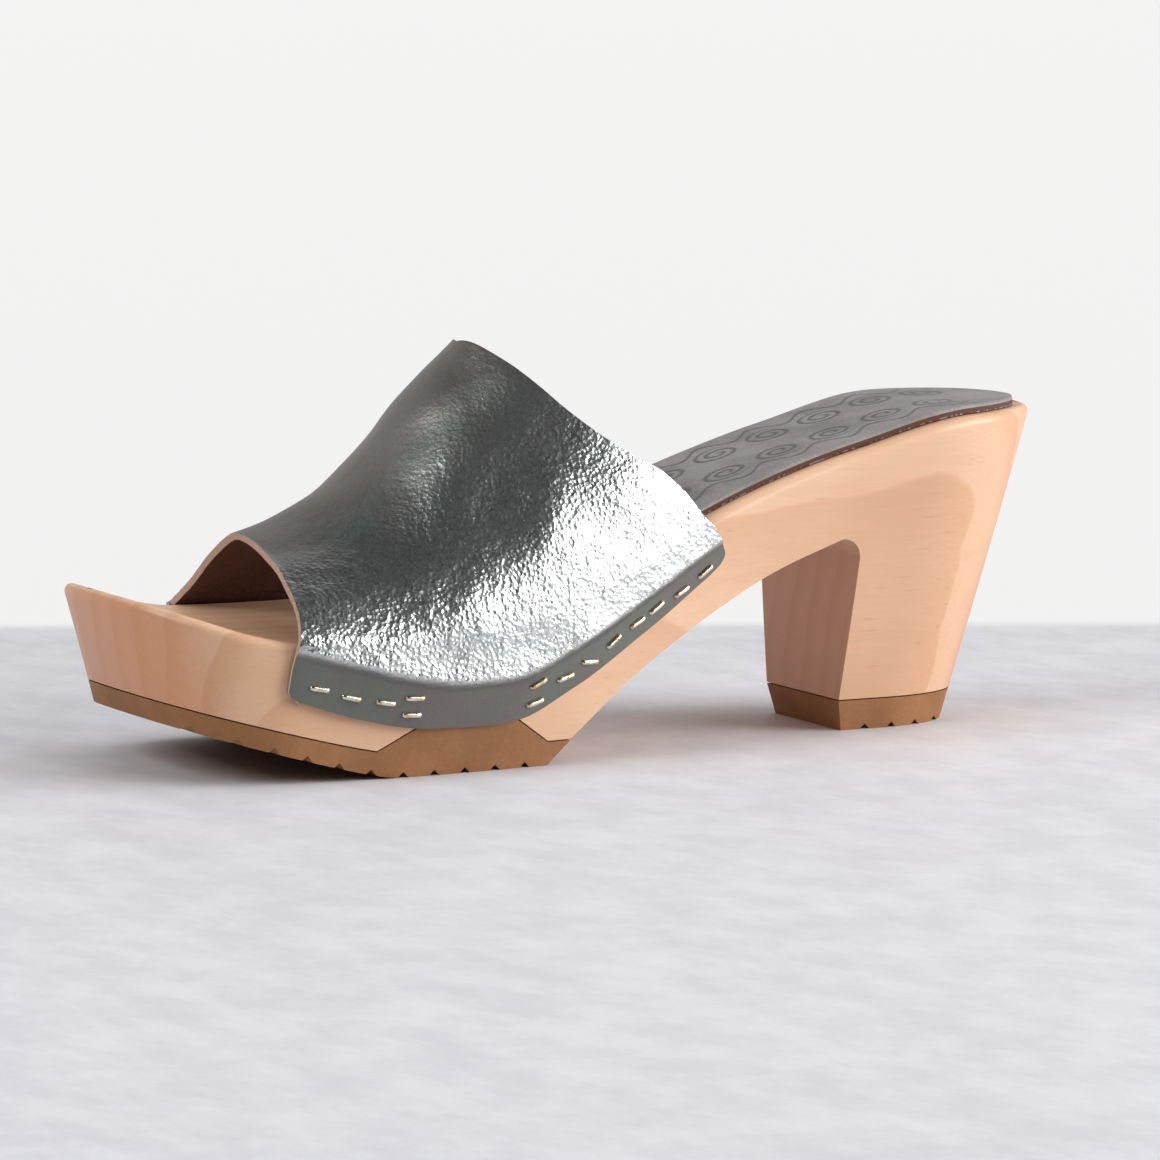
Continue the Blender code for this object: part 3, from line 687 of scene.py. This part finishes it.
tread_middles = groove_middles(TREAD_REAR, SOLE_LENGTH, GROOVE_PITCH)
tread_pole_z = 0.0
for _ in range(20):
    tread_pole_z = float(tread_height(SOLE_LENGTH + end_shift(SOLE_LENGTH, tread_pole_z)))
tread_front_u = SOLE_LENGTH + float(end_shift(SOLE_LENGTH, tread_pole_z))
tread_middles = tread_middles[tread_middles < tread_front_u - GROOVE_WIDTH]
run_knots = np.array((0.0, 1.0, 2.0, 3.0, 4.0))
foot_knots = np.array((TREAD_REAR, TREAD_UNDER_WEDGE, WEDGE_APEX, WEDGE_FRONT, tread_front_u))
top_knots = np.array((SHANK_FOOT, WEDGE_REAR, WEDGE_APEX, WEDGE_FRONT, toe_front_u))
run = np.concatenate((
    run_knots, np.linspace(0.0, 3.0, TREAD_STEPS), eased(3.0, 4.0, TREAD_TOE_STEPS, -1),
    np.interp(groove_edges(tread_middles), foot_knots, run_knots)))
run = np.unique(np.round(run, 7))
tread_foot_u = np.interp(run, run_knots, foot_knots)
tread_foot_z = tread_height(tread_foot_u) + groove_depth(tread_foot_u, tread_middles)
tread_top_u = np.interp(run, run_knots, top_knots)
wedge = np.interp(tread_top_u, (WEDGE_REAR, WEDGE_APEX, WEDGE_FRONT), (0.0, 1.0, 0.0))
tread_top_z = np.where(
    tread_top_u < WEDGE_FRONT,
    TREAD_THICKNESS - FIT_GAP + wedge * (WEDGE_DEPTH - 0.5 * FIT_GAP)
    + tread_height(WEDGE_FRONT) * (tread_top_u > WEDGE_APEX) * (1.0 - wedge),
    wood_height(tread_top_u) - FIT_GAP)
tread_foot = station_at(tread_foot_u, tread_foot_z)
tread_top = station_at(tread_top_u, tread_top_z)
tread_foot[-1] = SOLE_LENGTH
tread_top[-1] = SOLE_LENGTH
tread_piece = sole_piece(
    "tread_forefoot_cut", tread_top, tread_top_z, tread_foot, tread_foot_z, rubber, False, math.radians(25))
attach(tread_piece, "root")
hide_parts("tread_forefoot")

lift_top_z = LIFT_THICKNESS - FIT_GAP
lift_rear_u = float(end_shift(0.0, 0.0))
lift_front_u = heel_front(LIFT_THICKNESS) - LIFT_FRONT_SLANT * LIFT_THICKNESS
lift_middles = groove_middles(HEEL_LEAN * HEEL_SEAT_HEIGHT, lift_front_u, LIFT_GROOVE_PITCH)
lift_middles = lift_middles[lift_middles > lift_rear_u + GROOVE_WIDTH]
lift_foot_u = np.unique(np.round(np.concatenate((
    eased(lift_rear_u, lift_front_u, LIFT_STEPS, 1), groove_edges(lift_middles))), 8))
lift_foot_z = groove_depth(lift_foot_u, lift_middles)
lift_foot = station_at(lift_foot_u, lift_foot_z)
lift_foot[0] = 0.0
lift_top_front = float(station_at(heel_front(LIFT_THICKNESS), lift_top_z))
lift_top = lift_foot * (lift_top_front / lift_foot[-1])
lift_piece = sole_piece(
    "tread_heel_cut", lift_top, np.full_like(lift_top, lift_top_z), lift_foot, lift_foot_z, rubber, False,
    math.radians(25))
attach(lift_piece, "root")
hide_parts("tread_heel")

# Leather sock
# A thin grey leather sheet glued on the rear of the footbed, its cut edge stained brown, with a
# plain running scroll pressed into it.
INSOLE_THICKNESS = 0.0020
INSOLE_MARGIN = 0.0042
INSOLE_REAR = 0.0040
INSOLE_FRONT = 0.1338
INSOLE_LENGTH_STEPS = 300
INSOLE_ACROSS_STEPS = 140
INSOLE_EDGE_RADIUS = 0.0007
SCROLL_RADIUS = 0.0058
SCROLL_LINE = 0.00042
SCROLL_DEPTH = 0.00014
SCROLL_TURN_PITCH = 0.0025
SCROLL_SPACING = 0.0135
SCROLL_ROWS = (-0.0088, 0.0088)
SCROLL_START = 0.0200
SCROLL_COUNT = 6
SCROLL_EYE = 0.0007
SCROLL_FADE = 0.0002
WAVE_SWING = 0.00252
WAVE_OFFSET = 0.0076
PATTERN_BORDER = 0.003
SOCK_GREY = (0.300, 0.285, 0.280, 1.0)
SOCK_SHADE = (0.215, 0.205, 0.202, 1.0)
SOCK_PRESSED = (0.045, 0.045, 0.047, 1.0)
SOCK_EDGE = (0.115, 0.045, 0.028, 1.0)


def scroll_mark(u, w):
    """How much of a pressed line covers a point: curls that are flat spirals, radius growing with
    the turn, in two staggered rows, each row tied by a gentle wave."""
    mark = np.zeros_like(u)
    for row, middle in enumerate(SCROLL_ROWS):
        hand = 1.0 if row else -1.0
        start = SCROLL_START + 0.5 * SCROLL_SPACING * row
        number = np.clip(np.round((u - start) / SCROLL_SPACING), 0, SCROLL_COUNT - 1)
        du = u - (start + number * SCROLL_SPACING)
        dw = (w - middle) * hand
        away = np.hypot(du, dw)
        turn = np.arctan2(dw, du) / (2.0 * math.pi)
        lap = away / SCROLL_TURN_PITCH - turn
        spiral = np.abs(lap - np.round(lap)) * SCROLL_TURN_PITCH
        line = np.clip(1.6 - spiral / SCROLL_LINE, 0.0, 1.0)
        line = line * np.clip((SCROLL_RADIUS - away) / (2.0 * SCROLL_FADE), 0.0, 1.0)
        line = line * np.clip((away - SCROLL_EYE) / SCROLL_FADE, 0.0, 1.0)
        wave = middle + hand * WAVE_SWING * np.cos((u - start) * 2.0 * math.pi / SCROLL_SPACING)
        stem = np.clip(1.6 - np.abs(w - wave - hand * WAVE_OFFSET) / SCROLL_LINE, 0.0, 1.0)
        inside = (u > start - 0.4 * SCROLL_SPACING) & (u < start + (SCROLL_COUNT - 0.6) * SCROLL_SPACING)
        mark = np.maximum(mark, np.maximum(line, stem * inside))
    return mark


def sock_finish():
    """Matt grey leather: small pebble grain, pressed lines darker and glossier, brown cut edge."""
    sock = Finish("sock_leather", Specular_IOR_Level=0.4)
    pressed = sock.attribute("pressed")
    edge = sock.attribute("cut_edge").step(0.15, 0.45)
    grain = sock.cells(sock.place(), 1300.0)
    cloud = sock.noise(sock.place(), 70.0, 3.0)
    color = sock.blend(cloud.step(0.35, 0.7), SOCK_GREY, SOCK_SHADE)
    color = sock.blend(pressed * 0.85, color, SOCK_PRESSED)
    color = sock.blend(edge, sock.tint(color, grain * 0.3 + 0.87), SOCK_EDGE)
    sock.feed(
        Base_Color=color,
        Roughness=0.56 - pressed * 0.16 + edge * 0.2,
        Normal=sock.relief(grain * 0.5 + cloud * 0.4, 0.00010),
    )
    return sock


sock_length = np.linspace(0.0, 1.0, INSOLE_LENGTH_STEPS + 1)
sock_depth = HEEL_END_DEPTH - INSOLE_MARGIN
sock_ease = sock_length - 0.10 * np.sin(np.pi * sock_length) * (1 - sock_length) ** 3
sock_run = INSOLE_REAR + (INSOLE_FRONT - INSOLE_REAR) * sock_ease
sock_bend = eased(0.0, 1.0, 40, 1)
sock_u = np.unique(np.round(np.concatenate((
    INSOLE_REAR + sock_depth * 0.25 * sock_bend, sock_run[sock_run > INSOLE_REAR + sock_depth * 0.25])), 8))
past = np.clip((INSOLE_REAR + sock_depth - sock_u) / sock_depth, 0.0, 1.0)
sock_taper = (1.0 - past ** HEEL_SQUARENESS) ** (1.0 / HEEL_SQUARENESS)
sock_full = np.clip(sock_u, HEEL_END_DEPTH, None)
sock_outer = (rim_half_width(sock_full, 1) - INSOLE_MARGIN) * sock_taper
sock_inner = (rim_half_width(sock_full, -1) - INSOLE_MARGIN) * sock_taper
sock_across = 0.5 - 0.5 * np.cos(np.linspace(0.0, math.pi, INSOLE_ACROSS_STEPS + 1))
sock_across = 0.35 * sock_across + 0.65 * np.linspace(0.0, 1.0, INSOLE_ACROSS_STEPS + 1)
sock_w = sock_outer[:, None] - (sock_outer + sock_inner)[:, None] * sock_across
sock_uu = np.broadcast_to(sock_u[:, None], sock_w.shape)
bed_outer = rim_half_width(sock_u, 1)[:, None]
bed_inner = rim_half_width(sock_u, -1)[:, None]
bed_share = (sock_w + bed_inner) / (bed_inner + bed_outer)
bed_z = rim_height(sock_u)[:, None] - FOOTBED_DISH * 4.0 * bed_share * (1.0 - bed_share) + FIT_GAP
border = np.minimum(np.minimum(sock_outer[:, None] - sock_w, sock_w + sock_inner[:, None]),
                    (sock_uu - INSOLE_REAR) * 3.0)
near_border = np.clip(1.0 - border / INSOLE_EDGE_RADIUS, 0.0, 1.0)
round_off = INSOLE_EDGE_RADIUS * (1.0 - np.sqrt(1.0 - near_border ** 2))
pressed = scroll_mark(sock_uu, sock_w) * (border > PATTERN_BORDER)
sock_top = np.stack((sock_uu, sock_w, bed_z + INSOLE_THICKNESS - round_off - SCROLL_DEPTH * pressed), axis=-1)
sock_under = np.stack((sock_uu, sock_w, bed_z), axis=-1)
rim_loop = [np.s_[0, :], np.s_[:, -1], np.s_[-1, ::-1], np.s_[::-1, 0]]
sock_edge_top = np.concatenate([sock_top[part] for part in rim_loop])
sock_edge_foot = np.concatenate([sock_under[part] for part in rim_loop])
sock_wall = np.stack((sock_edge_top, sock_edge_top * 0.8 + sock_edge_foot * 0.2, sock_edge_foot))
no_mark = np.zeros(sock_wall.shape[:2])
all_edge = np.array((0.0, 1.0, 1.0))[:, None] + no_mark
insole = surface_piece(
    "insole_leather", [to_world(grid) for grid in (sock_top, sock_under, sock_wall)], sock_finish(),
    {"pressed": (pressed, 0.0 * pressed, no_mark), "cut_edge": (0.0 * pressed, 0.0 * pressed, all_edge)})
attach(insole, "root")
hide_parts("insole")

# Leather upper
# One wide band of grey leather with a crackled metal foil, pulled wet over the last and stapled
# to the sides of the wood. Its lower edge is pressed flat, and all its edges are raw cuts.
LEATHER = 0.0018
THROAT_APEX = 0.1448
INSTEP_HEIGHT = 0.0914
PEEP_EDGE = 0.1977
PEEP_HEIGHT = 0.0509
PEEP_SWEEP = 0.0044
BAND_REAR = 0.0920
SIDE_LAP = 0.0206
REAR_CORNER = 0.0050
FRONT_CORNER = 0.0030
CREST_OFFSET = 0.0010
CREST_SHARPNESS = 1.7
ARCH_SHARE = 0.78
UPPER_LENGTH_STEPS = 190
UPPER_ROUND_STEPS = 118
PRESS_DEPTH = 0.00045
PRESS_STEP = 0.0018
SWELL_REACH = 0.0140
GRAIN_DEPTH = 0.00008
UNEVENNESS = 0.00018
EDGE_DEPTHS = (0.14, 0.5)
EDGE_SETTLE_ROWS = 12
FLESH_RELIEF = 0.0003

CrestPoint = namedtuple("CrestPoint", "run height")
CREST_LINE = (
    CrestPoint(-1.00, 1.91),
    CrestPoint(-0.55, 1.58),
    CrestPoint(-0.25, 1.28),
    CrestPoint(0.00, 1.00),
    CrestPoint(0.21, 0.74),
    CrestPoint(0.42, 0.42),
    CrestPoint(0.62, 0.205),
    CrestPoint(0.83, 0.065),
    CrestPoint(1.00, 0.00),
)
FullPoint = namedtuple("FullPoint", "run outer inner")
ARCH_FULLNESS = (
    FullPoint(-1.00, 0.72, 0.72),
    FullPoint(0.00, 0.72, 0.76),
    FullPoint(0.50, 0.70, 0.90),
    FullPoint(1.00, 0.59, 1.18),
)
EdgePoint = namedtuple("EdgePoint", "round throat outer_peep inner_peep")
BAND_EDGES = (
    EdgePoint(0.00, 0.000, 0.00, 0.00),
    EdgePoint(0.12, 0.057, 0.08, -0.35),
    EdgePoint(0.23, 0.140, 0.21, -0.46),
    EdgePoint(0.33, 0.246, 0.34, -0.48),
    EdgePoint(0.43, 0.385, 0.47, -0.42),
    EdgePoint(0.52, 0.549, 0.55, -0.33),
    EdgePoint(0.58, 0.680, 0.62, -0.26),
    EdgePoint(0.66, 0.797, 0.76, -0.20),
    EdgePoint(0.78, 0.900, 0.93, -0.12),
    EdgePoint(0.90, 0.965, 1.30, 0.10),
    EdgePoint(1.00, 1.000, 1.50, 0.20),
)
LapPoint = namedtuple("LapPoint", "station lap")
SIDE_LAPS = (
    LapPoint(0.387, 0.54),
    LapPoint(0.467, 0.73),
    LapPoint(0.568, 0.89),
    LapPoint(0.628, 1.00),
    LapPoint(0.734, 0.94),
    LapPoint(0.799, 0.80),
    LapPoint(0.859, 0.60),
)
# How far the pressed strip reaches up from the lower edge, and how far the leather swells out
# just above it, by the distance u.
PressPoint = namedtuple("PressPoint", "u reach swell")
PRESSED_STRIP = (
    PressPoint(0.092, 0.0085, 0.0006),
    PressPoint(0.110, 0.0090, 0.0008),
    PressPoint(0.130, 0.0090, 0.0009),
    PressPoint(0.160, 0.0085, 0.0011),
    PressPoint(0.178, 0.0105, 0.0014),
    PressPoint(0.190, 0.0115, 0.0014),
    PressPoint(0.205, 0.0115, 0.0010),
)
# Creases and swells, from one point to another in distance u and way round, on one side.
Crease = namedtuple("Crease", "side u_from round_from u_to round_to width height")
CREASES = (
    Crease(1, 0.112, 0.56, 0.138, 0.53, 0.0075, 0.0008),
    Crease(1, 0.138, 0.53, 0.158, 0.62, 0.0075, 0.0008),
    Crease(1, 0.128, 0.36, 0.150, 0.42, 0.0080, -0.0007),
    Crease(1, 0.150, 0.42, 0.172, 0.40, 0.0080, -0.0008),
    Crease(1, 0.170, 0.50, 0.196, 0.48, 0.0060, 0.0006),
    Crease(-1, 0.114, 0.58, 0.140, 0.55, 0.0075, 0.0008),
    Crease(-1, 0.140, 0.55, 0.160, 0.63, 0.0075, 0.0007),
    Crease(-1, 0.130, 0.38, 0.170, 0.41, 0.0080, -0.0007),
    Crease(-1, 0.168, 0.52, 0.192, 0.50, 0.0060, 0.0005),
)
FOIL_BRIGHT = (0.62, 0.64, 0.625, 1.0)
FOIL_DARK = (0.13, 0.14, 0.135, 1.0)
FOIL_TAUPE = (0.30, 0.275, 0.265, 1.0)
FOIL_GREEN = (0.40, 0.47, 0.44, 1.0)
PRESSED_GREY = (0.130, 0.138, 0.122, 1.0)
PRESSED_PLUM = (0.140, 0.122, 0.120, 1.0)
RAW_EDGE = (0.52, 0.36, 0.27, 1.0)
FLESH_SIDE = (0.085, 0.028, 0.017, 1.0)


def crest_height(u):
    """Height of the upper's crest line."""
    run = (u - THROAT_APEX) / (PEEP_EDGE - THROAT_APEX)
    return PEEP_HEIGHT + (INSTEP_HEIGHT - PEEP_HEIGHT) * smooth_column(CREST_LINE, "run", "height", run)


def band_point(u, around, side):
    """Outer surface of the leather at distance u, around from the crest (0) to the lower edge (1).

    Above the rim the section is an arch, height = (1 - x^sharpness)^fullness over its half
    width. Below the rim it follows the wood's side.
    """
    run = (u - THROAT_APEX) / (PEEP_EDGE - THROAT_APEX)
    fullness = smooth_column(ARCH_FULLNESS, "run", "outer" if side > 0 else "inner", run)
    rim = rim_height(u)
    cover = FIT_GAP + LEATHER
    turn = np.clip(around / ARCH_SHARE, 0.0, 1.0) * math.pi / 2
    half = rim_half_width(u, side) + cover - side * CREST_OFFSET
    out = np.sin(turn)
    arch_w = side * out * half + CREST_OFFSET
    arch_z = rim + (crest_height(u) - rim) * (1.0 - out ** CREST_SHARPNESS) ** fullness
    lap = SIDE_LAP * smooth_column(SIDE_LAPS, "station", "lap", u / SOLE_LENGTH)
    down = np.clip((around - ARCH_SHARE) / (1.0 - ARCH_SHARE), 0.0, 1.0)
    side_z = rim - lap * down
    side_w = side * (side_half_width(u, side_z, side) + cover)
    on_arch = around <= ARCH_SHARE
    w = np.where(on_arch, arch_w, side_w)
    z = np.where(on_arch, arch_z, side_z)
    return np.stack((u + end_shift(u, z) * (u > THROAT_APEX), w, z), axis=-1)


def corner_pull(around, radius, reach):
    """How far a rounded lower corner pulls the band's end back near its lower edge."""
    near = np.clip((around - 1.0 + reach) / reach, 0.0, 1.0)
    return radius * (1.0 - np.sqrt(1.0 - near ** 2))


def band_half(side):
    """Distance u and way round of one half of the band, as grids from throat to peep."""
    turn = np.linspace(0.0, 1.0, UPPER_ROUND_STEPS + 1)
    peep = "outer_peep" if side > 0 else "inner_peep"
    lap_length = SIDE_LAP / (1.0 - ARCH_SHARE)
    back = smooth_column(BAND_EDGES, "round", "throat", turn)
    sweep = smooth_column(BAND_EDGES, "round", peep, turn)
    start = THROAT_APEX - (THROAT_APEX - BAND_REAR) * back
    start = start + corner_pull(turn, REAR_CORNER, REAR_CORNER / lap_length)
    end = PEEP_EDGE + PEEP_SWEEP * sweep - corner_pull(turn, FRONT_CORNER, FRONT_CORNER / lap_length)
    along = np.linspace(0.0, 1.0, UPPER_LENGTH_STEPS + 1)[:, None]
    u = start + (end - start) * along
    return u, np.broadcast_to(turn, u.shape)


def grid_normals(grid):
    """Unit normals of a grid of points, from the differences along and round it."""
    normal = np.cross(np.gradient(grid, axis=0), np.gradient(grid, axis=1))
    return normal / np.linalg.norm(normal, axis=-1, keepdims=True)


def soft_noise(points, wavelength, seed, waves=14):
    """Smooth noise from -1 to 1: a mean of sines in random directions, near one wavelength."""
    random = np.random.default_rng(seed)
    total = np.zeros(points.shape[:-1])
    for _ in range(waves):
        way = random.normal(size=3)
        way /= np.linalg.norm(way)
        length = wavelength * random.uniform(0.7, 1.5)
        total += np.sin(points @ way * 2.0 * math.pi / length + random.uniform(0.0, 6.3))
    return total / math.sqrt(waves)


def crease_height(u, around, side, arc):
    """Sum of the listed creases: a Gaussian across each line, faded out past its ends."""
    total = np.zeros_like(u)
    for crease in CREASES:
        if crease.side != side:
            continue
        step_u = crease.u_to - crease.u_from
        step_arc = (crease.round_to - crease.round_from) * arc
        length = math.hypot(step_u, step_arc)
        du = u - crease.u_from
        da = (around - crease.round_from) * arc
        share = np.clip((du * step_u + da * step_arc) / length ** 2, 0.0, 1.0)
        away = np.hypot(du - share * step_u, da - share * step_arc)
        total += crease.height * np.exp(-((away / crease.width) ** 2))
    return total


def edge_distance(u_grid, points):
    """Distance along the surface from the lower edge, the last column."""
    length = np.linalg.norm(np.diff(points, axis=1), axis=-1)
    total = np.cumsum(length[:, ::-1], axis=1)[:, ::-1]
    return np.concatenate((total, np.zeros((len(total), 1))), axis=1)


halves = {}
for side in (-1, 1):
    u_half, turn_half = band_half(side)
    base = band_point(u_half, turn_half, side)
    from_edge = edge_distance(u_half, base)
    reach = smooth_column(PRESSED_STRIP, "u", "reach", u_half)
    free = np.clip((from_edge - reach) / PRESS_STEP, 0.0, 1.0)
    free = free * free * (3.0 - 2.0 * free)
    arc = float(np.mean(from_edge[:, 0]))
    above = np.clip((from_edge - reach) / SWELL_REACH, 0.0, 1.0)
    swell = smooth_column(PRESSED_STRIP, "u", "swell", u_half) * (1.0 - above) ** 2 * free
    fold = crease_height(u_half, turn_half, side, arc) + swell
    halves[side] = (base, u_half, turn_half, from_edge, free, fold)


def whole(index):
    """Both halves of one grid of the band, side by side from the inner to the outer edge."""
    return np.concatenate((halves[-1][index][:, :0:-1], halves[1][index]), axis=1)


band = whole(0)
band_around = whole(2)
band_from_edge = whole(3)
band_free = whole(4)
band_out = grid_normals(band)
ends = np.minimum(np.arange(UPPER_LENGTH_STEPS + 1), np.arange(UPPER_LENGTH_STEPS, -1, -1))
settle = np.clip(ends / EDGE_SETTLE_ROWS, 0.0, 1.0)[:, None]
grain = soft_noise(band, 0.0042, 3) * 0.6 + soft_noise(band, 0.0022, 5) * 0.4
unevenness = soft_noise(band, 0.017, 8) * UNEVENNESS
side_share = np.clip((band_around - 0.25) / 0.35, 0.0, 1.0)
relief = whole(5) * (0.35 + 0.65 * settle) + band_free * (grain * GRAIN_DEPTH * (0.3 + 0.7 * side_share))
relief = relief + unevenness * band_free - PRESS_DEPTH * (1.0 - band_free)
band_outside = band + band_out * relief[..., None]
lowered = np.where(band_around[..., None] > ARCH_SHARE, 0.0, relief[..., None] * band_free[..., None])
band_inside = band + band_out * (np.minimum(lowered, FLESH_RELIEF) - LEATHER)


def sheet_to_middle(sheet, other):
    """A sheet of the wall, with its border carried half way through the wall to the other."""
    pad = len(EDGE_DEPTHS)
    wide = np.pad(sheet, ((pad, pad), (pad, pad), (0, 0)), mode="edge")
    far = np.pad(other, ((pad, pad), (pad, pad), (0, 0)), mode="edge")
    rows = np.arange(wide.shape[0])
    columns = np.arange(wide.shape[1])
    past_row = np.maximum(pad - rows, rows - (wide.shape[0] - 1 - pad))
    past_column = np.maximum(pad - columns, columns - (wide.shape[1] - 1 - pad))
    past = np.clip(np.maximum(past_row[:, None], past_column[None, :]), 0, pad)
    depth = np.array((0.0,) + EDGE_DEPTHS)[past]
    return wide + (far - wide) * depth[..., None], depth


def padded(values):
    """A grid of values with its border repeated, to go with a sheet's wider grid."""
    return np.pad(values, len(EDGE_DEPTHS), mode="edge")


outside_sheet, outside_depth = sheet_to_middle(band_outside, band_inside)
inside_sheet, inside_depth = sheet_to_middle(band_inside, band_outside)


def upper_finish():
    """Crackled foil on leather: small crumpled cells that each tip the light their own way,
    duller and browner over the crest, flat grey where it is pressed, raw tan at the cuts."""
    foil = Finish("crackled_foil_leather", Coat_Roughness=0.3)
    depth = foil.attribute("wall_depth")
    free = foil.attribute("free_of_press")
    turn = foil.attribute("way_round")
    edge = depth.step(0.06, 0.12) * depth.step(0.94, 0.88)
    flesh = depth.step(0.88, 0.94)
    place = foil.place()
    warp = foil.noise(place, 520.0, 2.0, 0.6)
    cell = foil.cells(place, 1000.0)
    facet = foil.cells(place, 1000.0, "F1", "Color")
    facet = foil.node("ShaderNodeSeparateColor", {}, {0: facet}, 0)
    small = foil.noise(place, 1900.0, 3.0, 0.65)
    crack = foil.cells(place, 700.0, "DISTANCE_TO_EDGE").step(0.10, 0.02)
    side_zone = turn.step(0.14, 0.48)
    green_zone = turn.step(0.08, 0.26) * turn.step(0.52, 0.34)
    rough_zone = free * (side_zone * 0.75 + 0.25)
    cloud = foil.noise(place, 55.0, 3.0, 0.5)
    color = foil.blend(side_zone, FOIL_TAUPE, FOIL_BRIGHT)
    color = foil.blend(green_zone * cloud.step(0.30, 0.62) * 0.7, color, FOIL_GREEN)
    color = foil.blend(rough_zone * facet.step(0.60, 0.95) * 0.22, color, FOIL_DARK)
    color = foil.blend(rough_zone * crack * 0.35, color, FOIL_DARK)
    pressed = foil.tint(foil.blend(cloud.step(0.4, 0.6), PRESSED_GREY, PRESSED_PLUM), small * 0.3 + 0.85)
    color = foil.blend(free, pressed, color)
    color = foil.blend(edge, color, foil.tint(RAW_EDGE, small * 0.8 + 0.6))
    color = foil.blend(flesh, color, foil.tint(FLESH_SIDE, small * 0.6 + 0.7))
    height = (cell * 0.8 + warp * 0.9) * rough_zone + small * 0.22
    plain = (1.0 - edge) * (1.0 - flesh)
    foil.feed(
        Base_Color=color,
        Metallic=plain * (free * 0.45 + 0.5),
        Roughness=0.42 - rough_zone * 0.18 + facet * 0.08 * rough_zone + (1.0 - plain) * 0.40,
        Normal=foil.relief(height, 0.00018),
    )
    return foil


upper = surface_piece(
    "upper_band", [to_world(outside_sheet), to_world(inside_sheet)], upper_finish(),
    {
        "wall_depth": (outside_depth, 1.0 - inside_depth),
        "free_of_press": (padded(band_free), padded(band_free)),
        "way_round": (padded(band_around), padded(band_around)),
    },
    sharp=math.radians(60))
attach(upper, "root")
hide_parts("upper")

# Staples
# Bright wire staples driven through the pressed strip into the wood, one row along each lower
# edge, with a few doubled ones at the front end where the pull is strongest.
WIRE_WIDTH = 0.0012
WIRE_HEIGHT = 0.0008
CROWN = 0.0042
CROWN_RISE = 0.0009
LEG_SINK = 0.0006
STAPLE_SIDES = 10
STAPLE_STEPS = 17
STAPLE_METAL = (0.78, 0.72, 0.62, 1.0)
STAPLE_BRASS = (0.62, 0.48, 0.27, 1.0)
Staple = namedtuple("Staple", "side u rise turn")
STAPLES = (
    Staple(1, 0.0980, 0.0060, 2), Staple(1, 0.1047, 0.0056, -4), Staple(1, 0.1118, 0.0061, 3),
    Staple(1, 0.1168, 0.0060, -2), Staple(1, 0.1230, 0.0059, 6), Staple(1, 0.1295, 0.0046, -28),
    Staple(1, 0.1361, 0.0044, -10), Staple(1, 0.1432, 0.0066, 3), Staple(1, 0.1440, 0.0032, -5),
    Staple(1, 0.1740, 0.0070, 0), Staple(1, 0.1750, 0.0034, 2), Staple(1, 0.1812, 0.0054, 0),
    Staple(1, 0.1893, 0.0057, -2), Staple(1, 0.1965, 0.0059, 3),
    Staple(-1, 0.0985, 0.0056, 0), Staple(-1, 0.1060, 0.0058, -4), Staple(-1, 0.1135, 0.0057, 3),
    Staple(-1, 0.1208, 0.0054, 0), Staple(-1, 0.1280, 0.0052, -6), Staple(-1, 0.1355, 0.0050, 3),
    Staple(-1, 0.1420, 0.0064, 0), Staple(-1, 0.1428, 0.0033, 4), Staple(-1, 0.1700, 0.0068, -2),
    Staple(-1, 0.1706, 0.0035, 0), Staple(-1, 0.1776, 0.0054, 3), Staple(-1, 0.1848, 0.0056, -3),
    Staple(-1, 0.1915, 0.0058, 0),
)


def staple_grids():
    """Each staple is a flat wire carried over a crown: half a superellipse along the pressed
    strip, its legs going down through the leather."""
    grids = []
    sweep = np.linspace(-1.0, 1.0, STAPLE_STEPS)
    reach = np.sign(sweep) * (1.0 - (1.0 - np.abs(sweep)) ** 2.2)
    lift = (1.0 - np.abs(sweep) ** 5) * CROWN_RISE - LEG_SINK
    ring = np.linspace(0.0, 2.0 * math.pi, STAPLE_SIDES + 1)
    for staple in STAPLES:
        base, from_edge = halves[staple.side][0], halves[staple.side][3]
        near = np.abs(base[..., 0] - staple.u) + np.abs(from_edge - staple.rise)
        row, column = np.unravel_index(np.argmin(near), near.shape)
        here = base[row, column]
        along = base[min(row + 3, len(base) - 1), column] - base[row - 3, column]
        along /= np.linalg.norm(along)
        down = base[row, min(column + 2, base.shape[1] - 1)] - base[row, column - 2]
        out = np.cross(along, down) * staple.side
        out /= np.linalg.norm(out)
        up = np.cross(out, along)
        angle = math.radians(staple.turn)
        run = along * math.cos(angle) + up * math.sin(angle)
        wide = np.cross(out, run)
        middle = here - out * PRESS_DEPTH + 0.5 * CROWN * reach[:, None] * run + lift[:, None] * out
        tangent = np.gradient(middle, axis=0)
        tangent /= np.linalg.norm(tangent, axis=1, keepdims=True)
        high = np.cross(tangent, wide)
        section = (
            0.5 * WIRE_WIDTH * np.cos(ring)[None, :, None] * wide
            + 0.5 * WIRE_HEIGHT * np.sin(ring)[None, :, None] * high[:, None])
        tube = middle[:, None] + section
        first = np.broadcast_to(middle[0], tube[:1].shape)
        last = np.broadcast_to(middle[-1], tube[:1].shape)
        grids.append(to_world(np.concatenate((first, tube, last))))
    return grids


staple_wire = Finish("staple_wire", Metallic=1.0)
worn = staple_wire.noise(staple_wire.place(), 480.0, 3.0, 0.6)
staple_wire.feed(
    Base_Color=staple_wire.blend(worn.step(0.4, 0.62), STAPLE_METAL, STAPLE_BRASS),
    Roughness=worn * 0.25 + 0.14,
    Normal=staple_wire.relief(worn, 0.00006),
)
staples = surface_piece("staples", staple_grids(), staple_wire)
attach(staples, "root")
